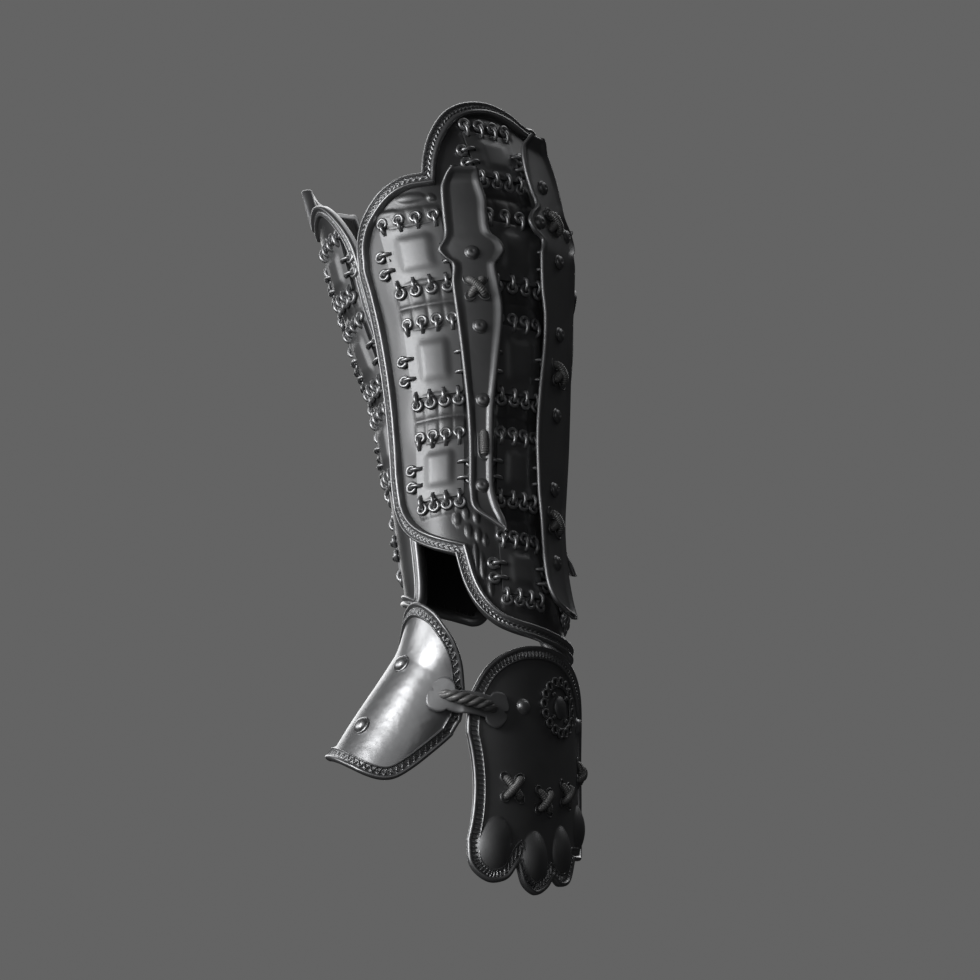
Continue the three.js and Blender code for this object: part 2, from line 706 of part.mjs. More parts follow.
// The strap and the cord run from the thumb guard over both borders to the hand guard
function addTie(thumb, hand) {
  thumb.updateMatrixWorld(true);
  hand.updateMatrixWorld(true);
  const stations = (lift) => [
    ...tieOnThumb.map((p) => thumbPoint(p.angle, p.height, p.lift + lift).applyMatrix4(thumb.matrixWorld)),
    ...tieOnHand.map((p) => handPoint(p.angle, p.height, p.lift + lift).applyMatrix4(hand.matrixWorld)),
  ];
  const low = new THREE.CatmullRomCurve3(stations(0), false, 'centripetal');
  const high = new THREE.CatmullRomCurve3(stations(1), false, 'centripetal');
  const across = [
    { w: -1, short: 0.018 },
    { w: -0.5, short: 0 },
    { w: 0, short: 0.018 },
    { w: 0.5, short: 0 },
    { w: 1, short: 0.018 },
  ];
  const grid = (lift) => strapWidths.map(({ along, half }) => across.map(({ w, short }) => {
    const u = THREE.MathUtils.clamp(along, short, 1 - short);
    const base = low.getPoint(u);
    const normal = high.getPoint(u).sub(base).normalize();
    const side = new THREE.Vector3().crossVectors(low.getTangent(u), normal).normalize();
    return base.addScaledVector(side, w * half).addScaledVector(normal, lift);
  }));
  add(armour, 'tie_strap', wallGeometry(grid(strapThickness), grid(0)), leatherFinish);

  const clearance = strapThickness + 2 * gap + cordDiameter / 2;
  const cordStart = 0.11;
  const cordEnd = 0.89;
  const steps = 10;
  const archRise = 2.2;
  const route = Array.from({ length: steps + 1 }, (_, k) => {
    const t = cordStart + ((cordEnd - cordStart) * k) / steps;
    const base = low.getPoint(t);
    const normal = high.getPoint(t).sub(base).normalize();
    return base.addScaledVector(normal, clearance + archRise * Math.sin((Math.PI * k) / steps));
  });
  const curve = new THREE.CatmullRomCurve3(route, false, 'centripetal');
  const section = new THREE.Shape(Array.from({ length: 8 }, (_, k) => new THREE.Vector2(
    (cordDiameter / 2) * Math.cos((k * Math.PI) / 4),
    (cordDiameter / 2) * Math.sin((k * Math.PI) / 4),
  )));
  const cord = new THREE.ExtrudeGeometry(section, { steps, extrudePath: curve, bevelEnabled: false });
  add(armour, 'twisted_cord', cord, cordFinish);
}

addOuterShell();
addInnerShell();
addPlates('outer', outerPlateColumns, outerPlateRows, outerShellPoint);
addPlates('inner', innerPlateColumns, innerPlateRows, innerShellPoint);
addSplints();
const handGuard = addHandGuard();
const thumbGuard = addThumbGuard();
addTie(thumbGuard, handGuard);

export default armour;
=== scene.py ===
import itertools
import math

import bpy
import numpy as np
from mathutils import Matrix, Vector
from mathutils.geometry import delaunay_2d_cdt


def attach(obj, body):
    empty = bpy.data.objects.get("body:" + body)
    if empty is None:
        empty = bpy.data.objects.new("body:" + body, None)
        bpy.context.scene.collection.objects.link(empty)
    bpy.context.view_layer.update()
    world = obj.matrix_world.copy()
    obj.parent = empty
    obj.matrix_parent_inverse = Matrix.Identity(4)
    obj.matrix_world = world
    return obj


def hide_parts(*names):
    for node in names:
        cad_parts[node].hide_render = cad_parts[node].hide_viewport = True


# Samurai arm armour for a left arm. Lengths are in millimetres until a mesh is made. Angles are in degrees
# round the arm. +Z runs up the forearm to the elbow.
MM = 0.001
FULL_TURN = 2 * math.pi

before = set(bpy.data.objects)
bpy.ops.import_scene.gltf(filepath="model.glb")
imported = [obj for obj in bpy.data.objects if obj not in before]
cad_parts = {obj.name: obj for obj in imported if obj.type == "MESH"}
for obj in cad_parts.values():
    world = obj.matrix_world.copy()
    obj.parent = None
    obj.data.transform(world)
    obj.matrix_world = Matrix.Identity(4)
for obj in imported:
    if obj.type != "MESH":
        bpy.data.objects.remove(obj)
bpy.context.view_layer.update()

# The camera stands far away with a long lens, because the photo shows almost no perspective
view_right = Vector((0.8861, 0.4595, -0.0606))
view_up = Vector((0.2226, -0.3073, 0.9252))
view_back = Vector((0.4065, -0.8333, -0.3746))
target_right = 5.57
target_up = 82.75
camera_distance = 16


def add_object(name, data):
    made = bpy.data.objects.new(name, data)
    bpy.context.scene.collection.objects.link(made)
    return made


def add_camera():
    data = bpy.data.cameras.new("camera")
    data.lens = 1225
    data.sensor_width = 36
    data.clip_end = 60
    camera = add_object("camera", data)
    target = (view_right * target_right + view_up * target_up) * MM
    turn = Matrix((view_right, view_up, view_back)).transposed().to_4x4()
    camera.matrix_world = Matrix.Translation(target + view_back * camera_distance) @ turn
    bpy.context.scene.camera = camera


add_camera()


# Materials
def new_material(name, colour, metallic, roughness, coat=0.0):
    material = bpy.data.materials.new(name)
    material.use_nodes = True
    shader = material.node_tree.nodes["Principled BSDF"]
    looks = {"Base Color": (*colour, 1), "Metallic": metallic, "Roughness": roughness, "Coat Weight": coat,
             "Coat Roughness": 0.25}
    for key, value in looks.items():
        shader.inputs[key].default_value = value
    return material, shader


def join(material, source, target):
    material.node_tree.links.new(source, target)


def add_node(material, kind, inputs):
    """Adds a node and gives its outputs. An input is a value, or another node's output"""
    made = material.node_tree.nodes.new("ShaderNode" + kind)
    if kind == "Mix":
        made.data_type = "RGBA"
    for name, source in inputs.items():
        if isinstance(source, bpy.types.NodeSocket):
            join(material, source, made.inputs[name])
        else:
            made.inputs[name].default_value = source
    return made.outputs


def ramp(material, source, low, high):
    return add_node(material, "MapRange", {"Value": source, "To Min": low, "To Max": high})["Result"]


def two_tone(material, source, dark, light):
    return add_node(material, "Mix", {"Factor": source, "A": (*dark, 1), "B": (*light, 1)})["Result"]


def bump(material, shader, sources):
    """Stacked bumps from rows of source, strength and depth"""
    below = {}
    for source, strength, depth in sources:
        inputs = {"Strength": strength, "Distance": depth * MM, "Height": source}
        below = {"Normal": add_node(material, "Bump", {**inputs, **below})["Normal"]}
    join(material, below["Normal"], shader.inputs["Normal"])


def place(material):
    return add_node(material, "TexCoord", {})["Object"]


def noise(material, where, scale, detail=3.0):
    inputs = {"Vector": where, "Scale": scale, "Detail": detail, "Roughness": 0.55}
    return add_node(material, "TexNoise", inputs)["Fac"]


def cool_grey(tone, share):
    """A share of a grey tone, with slightly more green and blue"""
    return tuple(tone * (share + more) for more in (0, 0.01, 0.03))


def steel_material(name, tone, roughness, dent):
    """Dark steel with broad dents, an uneven polish and a fine grain"""
    dark = cool_grey(tone, 0.82)
    light = cool_grey(tone, 1.12)
    material, shader = new_material(name, light, metallic=0.85, roughness=roughness)
    where = place(material)
    broad = noise(material, where, 55)
    grain = noise(material, where, 900, 4)
    dents = noise(material, where, 95, 2)
    join(material, two_tone(material, broad, dark, light), shader.inputs["Base Color"])
    join(material, ramp(material, grain, roughness - 0.06, roughness + 0.07), shader.inputs["Roughness"])
    bump(material, shader, [(dents, dent, 1.1), (grain, 0.12, 0.12)])
    return material


def leather_material(name, tone, roughness, metallic):
    """Waxed leather with pores, wrinkles and worn patches"""
    dark = cool_grey(tone, 0.7)
    light = cool_grey(tone, 1.15)
    material, shader = new_material(name, light, metallic, roughness, coat=0.15)
    where = place(material)
    patches = noise(material, where, 40, 4)
    wrinkles = noise(material, where, 300, 4)
    pores = add_node(material, "TexVoronoi", {"Vector": where, "Scale": 850})["Distance"]
    join(material, two_tone(material, patches, dark, light), shader.inputs["Base Color"])
    join(material, ramp(material, patches, roughness - 0.07, roughness + 0.08), shader.inputs["Roughness"])
    bump(material, shader, [(pores, 0.1, 0.15), (wrinkles, 0.15, 0.25)])
    return material


def cord_material(name, tone, roughness):
    material, shader = new_material(name, (tone, tone, tone * 1.03), metallic=0.3, roughness=roughness)
    fibres = noise(material, place(material), 1600, 5)
    dark = (tone * 0.6,) * 3
    light = (tone * 1.3,) * 3
    join(material, two_tone(material, fibres, dark, light), shader.inputs["Base Color"])
    bump(material, shader, [(fibres, 0.3, 0.15)])
    return material


plate_steel = steel_material("plate_steel", tone=0.27, roughness=0.46, dent=0.06)
splint_steel = steel_material("splint_steel", tone=0.3, roughness=0.44, dent=0.12)
guard_steel = steel_material("guard_steel", tone=0.3, roughness=0.52, dent=0.12)
bright_steel = steel_material("bright_steel", tone=0.5, roughness=0.36, dent=0.3)
link_steel = steel_material("link_steel", tone=0.5, roughness=0.36, dent=0)
leather = leather_material("leather", tone=0.17, roughness=0.4, metallic=0.75)
inside_leather = leather_material("inside_leather", tone=0.04, roughness=0.6, metallic=0)
border_leather = leather_material("border_leather", tone=0.38, roughness=0.34, metallic=0.8)
strap_leather = leather_material("strap_leather", tone=0.5, roughness=0.42, metallic=0.7)
cord = cord_material("cord", tone=0.3, roughness=0.42)
# Painted shade: a near-black material for discs in the plates' slots, standing in for the shadow inside them
painted_slot_shade, _ = new_material("painted_slot_shade", (0.012, 0.012, 0.012), metallic=0, roughness=0.8)

# Driving sizes, as in the solids
leather_thickness = 3.0
guard_thickness = 2.0
outer_border_width = 7.0
inner_border_width = 6.0
guard_border_width = 6.5
splint_lift = 3.3
splint_thickness = 1.7
hand_radius = 62.0
thumb_radius = 28.0

shell_mid_height = 196
shell_mid_radius = 54.8
shell_taper = 14.3
shell_curve = 1.2
shell_taper_length = 120
elbow_lean_start = 195
elbow_lean = 17
elbow_lean_length = 60
wrist_flare_start = 75
wrist_flare = 9
waist_height = 132
waist_length = 60
waist_depth = 0.055
inner_shell_angle = 176
inner_hem_tilt = 5
inner_hem_angle = 60
hand_waist_height = -22
hand_waist_length = 26
hand_waist_depth = 0.06
thumb_flare_start = 12
thumb_flare_length = 26
thumb_flare = 8

inner_sections = np.array([
    # height, radius, shift
    (15, 31.7, 0), (60, 35, 0), (98, 38.2, 0), (122, 40.9, 0), (142, 42.5, 1.5), (166, 42.6, 8.5),
    (187, 42.4, 14), (212, 45.2, 16.5), (240, 50, 18), (262, 53, 19)])

# Outlines, in rows of top angle, top height, bottom angle, bottom height
outer_edge = np.array([
    (0, 268.5, 0, -4.3), (12, 272, 13, -3.9), (24, 273.5, 26, -3), (36, 271, 39, -1.5), (47, 264.5, 51, 2.5),
    (57, 253, 61, 10.5), (64, 241, 69, 22.5), (67.5, 232.5, 74.5, 40), (77.5, 231.5, 84.5, 43),
    (88, 227.5, 95, 47), (98, 221, 106, 53), (108, 212.5, 115, 61), (115.5, 202, 120, 71),
    (118.5, 190, 122, 84)])
inner_edge = np.array([
    (0, 255, 0, 35), (10, 255, 12, 35), (20, 256, 24, 34), (26, 255, 34, 32.5), (30, 236, 42, 31),
    (38, 238, 50, 29), (48, 239, 58, 27), (58, 235, 66, 27.5), (67, 226, 72, 31.5), (74, 214, 75, 40),
    (77, 200, 76, 53)])
hand_edge = np.array([
    (-51, 9, -50.8, -49), (-50, 20.5, -50, -59), (-47, 28.5, -46, -65), (-42.5, 36.5, -39.5, -68.2),
    (-36, 43, -32, -66), (-27, 48, -27, -59), (-18, 50.2, -23.8, -68), (-10, 50.7, -17, -71.8),
    (-3, 50, -10.5, -68), (3, 48.6, -6, -62), (10, 45.5, 0, -64.6), (16, 42, 8, -61), (22, 37.6, 14, -49),
    (27, 32.5, 21, -47.5), (32, 25, 28, -45.5), (35.5, 16, 34, -40), (37.5, 5, 37.5, -30)])
thumb_edge = np.array([
    (0, 38, 0, -48), (15, 37, 18, -48), (28, 34, 36, -47.5), (42, 30, 52, -45.5), (56, 24, 64, -41),
    (69, 16.5, 73, -32.5), (80, 9, 82, -20), (88, 1, 89, -9)])


def mirrored(half):
    return np.vstack([half[:0:-1] * np.array([-1, 1, -1, 1]), half])


def unit(vectors):
    return vectors / np.linalg.norm(vectors, axis=-1, keepdims=True)


def smoothstep(low, high, x):
    t = np.clip((x - low) / (high - low), 0, 1)
    return t * t * (3 - 2 * t)


def hermite(table, column, heights):
    """A column of a table of sections, eased between the rows' heights"""
    h = table[:, 0]
    y = table[:, column]
    wide_h, wide_y = (np.pad(v, 1, "edge") for v in (h, y))
    slope = (wide_y[2:] - wide_y[:-2]) / (wide_h[2:] - wide_h[:-2])
    heights = np.asarray(heights, float)
    i = np.clip(np.searchsorted(h, heights, side="left") - 1, 0, len(h) - 2)
    span = h[i + 1] - h[i]
    t = np.clip((heights - h[i]) / span, 0, 1)
    eased = y[i] + (y[i + 1] - y[i]) * smoothstep(0, 1, t)
    return eased + slope[i] * span * t * (1 - t) ** 2 + slope[i + 1] * span * t * t * (t - 1)


# Surfaces. Each is a radius at a height, and a point at an angle, a height and a lift above the surface
def ring_point(radius, angle, height):
    a = np.radians(angle)
    return np.stack(np.broadcast_arrays(radius * np.cos(a), radius * np.sin(a), height), -1)


def outer_radius_at(height):
    s = (height - shell_mid_height) / shell_taper_length
    flare = np.maximum(0, (wrist_flare_start - height) / wrist_flare_start)
    return shell_mid_radius + shell_taper * s + shell_curve * s * s + wrist_flare * flare ** 1.8


def outer_point(angle, height, lift):
    lean = elbow_lean * np.maximum(0, (height - elbow_lean_start) / elbow_lean_length) ** 1.3
    waist = 1 - waist_depth * np.maximum(0, 1 - ((height - waist_height) / waist_length) ** 2)
    point = ring_point(outer_radius_at(height) + lift, angle * waist, height)
    point[..., 0] -= lean
    return point


def inner_radius_at(height):
    return hermite(inner_sections, 1, height)


def inner_point(angle, height, lift):
    shift = hermite(inner_sections, 2, height)
    middle = ring_point(1, inner_shell_angle, 0)
    point = ring_point(inner_radius_at(height) + lift, inner_shell_angle + angle, height)
    return point + shift[..., None] * middle


def turned(position, tilt):
    x, y, z = (math.radians(v) for v in tilt)
    turn = Matrix.Rotation(x, 3, "X") @ Matrix.Rotation(y, 3, "Y") @ Matrix.Rotation(z, 3, "Z")
    return np.array(turn), np.array(position)


hand_turn, hand_position = turned((-25.6, 12.8, -45.3), (6.5, 7.2, -4.5))
thumb_turn, thumb_position = turned((-14.4, -26.2, -29.4), (-7.8, 37.3, -107.4))


def hand_radius_at(height):
    return hand_radius


def hand_point(angle, height, lift):
    waist = 1 - hand_waist_depth * np.maximum(0, 1 - ((height - hand_waist_height) / hand_waist_length) ** 2)
    return ring_point(hand_radius + lift, angle * waist, height) @ hand_turn.T + hand_position


def thumb_radius_at(height):
    beyond = np.maximum(0, (height - thumb_flare_start) / thumb_flare_length)
    return thumb_radius + thumb_flare * beyond ** 1.5


def thumb_point(angle, height, lift):
    return ring_point(thumb_radius_at(height) + lift, angle, height) @ thumb_turn.T + thumb_position


outer_surface = (outer_radius_at, outer_point)
inner_surface = (inner_radius_at, inner_point)
hand_surface = (hand_radius_at, hand_point)
thumb_surface = (thumb_radius_at, thumb_point)


# Mesh making
def piece(name, points, faces, materials, replaces=()):
    mesh = bpy.data.meshes.new(name)
    mesh.from_pydata((np.asarray(points, float).reshape(-1, 3) * MM).tolist(), [], faces)
    mesh.validate()
    for material in materials:
        mesh.materials.append(material)
    mesh.polygons.foreach_set("use_smooth", np.ones(len(mesh.polygons), bool))
    made = add_object(name, mesh)
    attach(made, "root")
    if replaces:
        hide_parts(*replaces)
    return made


def grid_faces(rows, columns, start=0, close_rows=False, close_columns=False):
    i = np.arange(rows if close_rows else rows - 1)
    j = np.arange(columns if close_columns else columns - 1)
    i, j = (v.ravel() for v in np.meshgrid(i, j, indexing="ij"))
    ni = (i + 1) % rows
    nj = (j + 1) % columns
    quads = [i * columns + j, ni * columns + j, ni * columns + nj, i * columns + nj]
    return (start + np.stack(quads, -1)).tolist()


class Batch:
    """Many small meshes joined into one"""

    def __init__(self):
        self.points = []
        self.faces = []

    def add(self, points, faces):
        count = len(self.points)
        self.points.extend(np.reshape(points, (-1, 3)))
        self.faces.extend([[k + count for k in face] for face in faces])

    def piece(self, name, material, slot, replaces=()):
        return piece(name, self.points, self.faces, [material], replaces)


def smooth_line(points, corners, parameters):
    """Points of a smooth open line through the given ones, at fractional row numbers"""
    points = np.asarray(points, float)
    last = len(points) - 1
    k = np.clip(np.floor(parameters).astype(int), 0, last - 1)
    out = np.empty((len(parameters), points.shape[1]))
    for i in np.unique(k):
        p1, p2 = points[i], points[i + 1]
        p0 = points[i - 1] if i > 0 and i not in corners else 2 * p1 - p2
        p3 = points[i + 2] if i + 2 <= last and i + 1 not in corners else 2 * p2 - p1
        pick = k == i
        t = (parameters[pick] - i)[:, None]
        square = (2 * p0 - 5 * p1 + 4 * p2 - p3) * t * t
        cube = (3 * p1 - p0 - 3 * p2 + p3) * t ** 3
        out[pick] = 0.5 * (2 * p1 + (p2 - p0) * t + square + cube)
    return out


def add_wall(name, edge, corners, grid, surface, insets, relief, thickness, material, replaces):
    """A fine wall between the top and bottom edges, with its relief on the outer face. Corners are rows of
    the top and of the bottom, the grid is columns and rows, and the insets are at the edges and the sides"""
    radius_at, point_at = surface
    columns, rows = grid
    inset, side_inset = insets
    u = np.linspace(side_inset, len(edge) - 1 - side_inset, columns)
    top = smooth_line(edge[:, :2], corners[0], u)
    bottom = smooth_line(edge[:, 2:], corners[1], u)
    start = (inset / (top[:, 1] - bottom[:, 1]))[:, None]
    t = start + (1 - 2 * start) * np.linspace(0, 1, rows)[None, :]
    angle = top[:, :1] + (bottom[:, :1] - top[:, :1]) * t
    height = top[:, 1:] + (bottom[:, 1:] - top[:, 1:]) * t
    x = np.radians(angle) * radius_at(height)
    outer = point_at(angle, height, relief(angle, height, x))
    coarse = 4
    ci = np.unique(np.r_[np.arange(0, columns, coarse), columns - 1])
    ri = np.unique(np.r_[np.arange(0, rows, coarse), rows - 1])
    inner = point_at(angle, height, -thickness)[np.ix_(ci, ri)]
    faces = grid_faces(columns, rows)
    under = [face[::-1] for face in grid_faces(len(ci), len(ri), columns * rows)]
    points = np.vstack([outer.reshape(-1, 3), inner.reshape(-1, 3)])
    made = piece(name, points, faces + under, [material, inside_leather], replaces)
    marks = np.zeros(len(made.data.polygons), int)
    marks[len(faces):] = 1
    made.data.polygons.foreach_set("material_index", marks)


# Borders
steps_per_span = 24
mitre_reach = 11


def inward_ways(line, s, total, corners):
    """The way inward at each point of a closed line, mitred at its corners"""
    ahead = unit(np.roll(line, -1, 0) - line)
    behind = unit(line - np.roll(line, 1, 0))
    tangent = unit(ahead + behind)
    double_area = np.sum(line[:, 0] * np.roll(line[:, 1], -1) - np.roll(line[:, 0], -1) * line[:, 1])
    sign = 1 if double_area > 0 else -1

    def inside_of(way):
        return sign * np.stack([-way[..., 1], way[..., 0]], -1)

    normal = inside_of(tangent)
    inward = normal.copy()
    for corner in corners:
        before = inside_of(behind[corner])
        after = inside_of(ahead[corner])
        mitre = (before + after) / (1 + before @ after)
        gap = (s - s[corner] + total / 2) % total - total / 2
        near = np.clip(1 - np.abs(gap) / mitre_reach, 0, 1)
        k = np.nonzero(near > 0)[0]
        inward[k] = normal[k] + tangent[k] * ((tangent[k] @ mitre) * near[k])[:, None]
        inward[corner] = mitre
    return inward


def closed_line(points, corners, spacing):
    """A smooth closed line, evenly spaced between its corners: its points, ways inward and arc lengths"""
    count = len(points)
    around = np.vstack([points[-1:], points, points[:2]])
    corners_around = [corner + shift for corner in corners for shift in (1, count + 1)]
    dense = smooth_line(around, corners_around, 1 + np.arange(count * steps_per_span) / steps_per_span)
    step = np.linalg.norm(np.roll(dense, -1, 0) - dense, axis=1)
    along = np.r_[0, np.cumsum(step)]
    total = along[-1]
    stops = sorted(along[i * steps_per_span] for i in corners) or [0.0]
    samples = []
    corner_at = []
    for a, b in zip(stops, stops[1:] + [stops[0] + total]):
        count = max(2, int(round((b - a) / spacing)))
        corner_at.append(len(samples))
        samples.extend(np.linspace(a, b, count, endpoint=False) % total)
    s = np.array(samples)
    wrapped = np.vstack([dense, dense[:1]])
    line = np.stack([np.interp(s, along, wrapped[:, k]) for k in range(2)], -1)
    return line, inward_ways(line, s, total, corner_at if corners else []), s


def loop_points(edge, side_rows, radius_at):
    """The edge's outline laid flat: the top, down the right side, back along the bottom and up the left"""
    top = edge[:, :2]
    bottom = edge[:, 2:]
    t = (np.arange(side_rows) + 1)[:, None] / (side_rows + 1)
    right = top[-1] + (bottom[-1] - top[-1]) * t
    left = bottom[0] + (top[0] - bottom[0]) * t
    loop = np.vstack([top, right, bottom[::-1], left])
    return np.stack([np.radians(loop[:, 0]) * radius_at(loop[:, 1]), loop[:, 1]], -1)


def bottom_corners(edge, side_rows, rows):
    """Where rows of the bottom edge lie in the outline"""
    return [2 * len(edge) + side_rows - 1 - row for row in rows]


def add_rim(name, edge, corners, side_rows, profile, relief, surface, spacing, replaces):
    """A border all the way round an outline. The profile's rows are inset, lift; relief adds to the lift"""
    radius_at, point_at = surface
    line, inward, s = closed_line(loop_points(edge, side_rows, radius_at), corners, spacing)
    rows = []
    for inset, lift in profile:
        p = line + inward * inset
        height = p[:, 1]
        angle = np.degrees(p[:, 0] / radius_at(height))
        extra = relief(s, inset) if lift > 0 else 0
        rows.append(point_at(angle, height, lift + extra))
    faces = grid_faces(len(line), len(profile), 0, True, True)
    piece(name, np.stack(rows, 1), faces, [border_leather], replaces)


def border_profile(width, band, beads, underside):
    """Rows of inset, lift: up the outer side, over the beads and under again. The beads' rows are centre,
    radius, crown"""
    rows = [(0.12 * width, underside), (0.02 * width, underside * 0.7), (0, 0)]
    foot = min(band, 0.3)
    for d in np.linspace(0.02, 0.985, 30) * width:
        lift = band
        for centre, radius, crown in beads:
            if abs(d - centre) < radius:
                lift = foot + (crown - foot) * math.sqrt(max(1 - ((d - centre) / radius) ** 2, 0))
        rows.append((d, lift))
    return rows + [(width, -0.4), (0.98 * width, underside)]


# Stitch patterns: a height at an arc length and a share of the way across
def braid(s, across):
    return np.clip(np.sin(FULL_TURN * (s / 2.6 + abs(across - 0.5) * 1.6)), -0.4, 0.8)


def zigzag(s, across):
    return np.clip(1 - np.abs(np.abs((s / 3.6) % 1 * 2 - 1) - across) * 4.5, -0.3, 1)


def slanted(s, across):
    return np.clip(np.cos(FULL_TURN * (s / 2.4 + 0.35 * across)), -0.5, 0.7)


def stitched(pattern, low, high, depth, softness=0.3):
    """A relief with the pattern between two insets"""
    def relief(s, d):
        if not low < d < high:
            return 0
        across = (d - low) / (high - low)
        return depth * pattern(s, across) * math.sin(math.pi * across) ** softness
    return relief


# Small forms
def frame_at(point_at, angle, height, lift=0.0):
    """Centre and axes on a surface: across, up and out"""
    centre = point_at(angle, height, lift)
    out = unit(point_at(angle, height, lift + 1) - centre)
    up = point_at(angle, height + 0.5, lift) - point_at(angle, height - 0.5, lift)
    up = unit(up - out * (up @ out))
    return centre, np.stack([np.cross(up, out), up, out])


def placed(local, centre, axes):
    return np.asarray(local) @ axes + centre


def circle(count):
    return np.linspace(0, FULL_TURN, count, endpoint=False)


def torus(major, minor, turns, sides):
    around = np.degrees(circle(turns))[:, None]
    b = circle(sides)
    points = ring_point(major + minor * np.cos(b), around, minor * np.sin(b))
    return points, grid_faces(turns, sides, 0, True, True)


def capped_faces(stations, sides):
    faces = grid_faces(stations, sides, 0, False, True)
    faces.append(list(range(sides))[::-1])
    faces.append([(stations - 1) * sides + k for k in range(sides)])
    return faces


def tube(path, side, up, radius, sides):
    """Rings round a path, each in the plane of its side and up"""
    b = circle(sides)[:, None]
    ring = np.cos(b) * side[:, None, :] + np.sin(b) * up[:, None, :]
    return (path[:, None, :] + np.asarray(radius)[..., None] * ring).reshape(-1, 3)


def swept(path, radius, sides, up_hint):
    """A capped tube along a path. The radius is a number, or one for each station and side"""
    tangent = unit(np.gradient(path, axis=0))
    side = unit(np.cross(tangent, up_hint))
    return tube(path, side, np.cross(side, tangent), radius, sides), capped_faces(len(path), sides)


def closed_tube(path, radius, out):
    """A closed thin tube along a path that lies across the direction out"""
    side = np.cross(unit(np.roll(path, -1, 0) - np.roll(path, 1, 0)), out)
    return tube(path, side, out[None], radius, 8), grid_faces(len(path), 8, 0, True, True)


def oval(centre, way, beside, turns):
    """Points round a centre. The half axes are way and beside"""
    a = circle(turns)
    return centre + np.outer(np.cos(a), way) + np.outer(np.sin(a), beside)


def dome(profile, turns):
    """A body of revolution about the third axis, from rows of radius, height"""
    radius, height = np.array(profile, float).T[..., None]
    points = ring_point(radius, np.degrees(circle(turns)), height)
    return points.reshape(-1, 3), grid_faces(len(profile), turns, 0, False, True)


# Rows and columns of linked plates
outer_rows = [
    # bottom, top
    (19, 45.5), (70, 98), (121, 155), (177.5, 207), (231, 255)]
inner_rows = [(52, 78), (94, 124), (140, 172), (190, 216)]
top_row_narrowing = 0.8
outer_columns = {
    # middle angle, half width in degrees, first row, last row
    "a": (-82, 16, 1, 3), "b": (-29, 15.5, 0, 4), "c": (29, 15.5, 0, 4), "d": (82, 16, 1, 3)}
inner_columns = {"e": (-50, 15, 1, 3), "f": (0, 16, 0, 3), "g": (50, 15, 1, 3)}

# Sewn puffs of the leather
puff_rise = 0.95
inner_puff_rise = 0.9
end_puff_rise = 0.7
end_puff_height = 9
puff_gap = 0.5
puff_reach = 1.12
puff_width = 0.56
single_puffs = [
    # angle, height, half width in degrees, half height
    (-77, 220.5, 7.5, 2.6), (-92, 214.5, 8, 2.3), (-67, 219.5, 2.2, 1.8), (-65.5, 61, 2.6, 3.4),
    (-58.5, 58.5, 2.4, 3), (-64.5, 52, 2.8, 3.6), (-58, 49.5, 2.4, 3.6), (-53.5, 47, 2, 3.2),
    (-72, 58.5, 3, 3.4), (-60.5, 38.5, 1.8, 7.5), (-56.5, 33, 2, 7.5), (-58.5, 22.5, 2.2, 4.5),
    (-52, 22, 2, 4.5)]


def puff_band(angle, height, centre, reach, low, high, split):
    """Two rows of soft puffs in a column, below and above a split. A split near 0 or 1 leaves one row"""
    u = (angle - centre) / reach
    inside = smoothstep(puff_reach, 0.98, np.abs(u))
    columns = (u + puff_reach) / puff_width
    across = 1 - np.abs(2 * (columns - np.floor(columns)) - 1) ** 4
    v = np.clip((height - low) / (high - low), 0, 1)
    part = np.where(v < split, v / split, (v - split) / (1 - split))
    bulge = 1 - np.abs(2 * part - 1) ** 3
    band = (height > low) & (height < high)
    return np.where(band, inside * bulge * (0.55 + 0.45 * across), 0)


def bands_between(angle, height, columns, rows, rise, split):
    lift = np.zeros(np.shape(height))
    for centre, reach, first, last in columns.values():
        for row in range(first, last):
            low = rows[row][1] + puff_gap
            high = rows[row + 1][0] - puff_gap
            lift += rise * puff_band(angle, height, centre, reach, low, high, split)
    return lift


def outer_relief(angle, height, x):
    lift = bands_between(angle, height, outer_columns, outer_rows, puff_rise, 0.52)
    for centre, reach, first, last in outer_columns.values():
        top = outer_rows[last][1]
        bottom = outer_rows[first][0]
        ends = ((top + puff_gap, top + end_puff_height, 0.999),
                (bottom - end_puff_height, bottom - puff_gap, 0.001))
        for low, high, split in ends:
            lift += end_puff_rise * puff_band(angle, height, centre, reach, low, high, split)
    for side in (1, -1):
        for centre, middle, width, tall in single_puffs:
            d = ((angle - side * centre) / width) ** 2 + ((height - middle) / tall) ** 2
            lift = np.maximum(lift, puff_rise * np.clip(1 - d, 0, 1) ** 0.6)
    lift += 0.25 * np.sin(x * 0.21 + 1.3) * np.sin(height * 0.13)
    return lift * 0.9 - 0.25


def inner_relief(angle, height, x):
    return bands_between(angle, height, inner_columns, inner_rows, inner_puff_rise, 0.5) * 0.9 - 0.2


# The two shells and their borders
def add_outer_shell():
    edge = mirrored(outer_edge)
    middle = len(outer_edge) - 1
    corner_row = 7
    corners = [middle - corner_row, middle + corner_row]
    side_rows = 7
    add_wall("outer_leather", edge, (corners, corners), (330, 250), outer_surface, (4.5, 0.22), outer_relief,
             leather_thickness, leather, ["outer_shell"])
    beads = [(0.85, 0.85, 1.9), (5.5, 1.45, 2.9)]
    profile = border_profile(outer_border_width, 0.7, beads, -leather_thickness)
    rim_corners = corners + bottom_corners(edge, side_rows, corners)
    add_rim("outer_braid", edge, rim_corners, side_rows, profile, stitched(braid, 1.7, 4.1, 0.95, 0.5),
            outer_surface, 0.6, ["outer_border"])


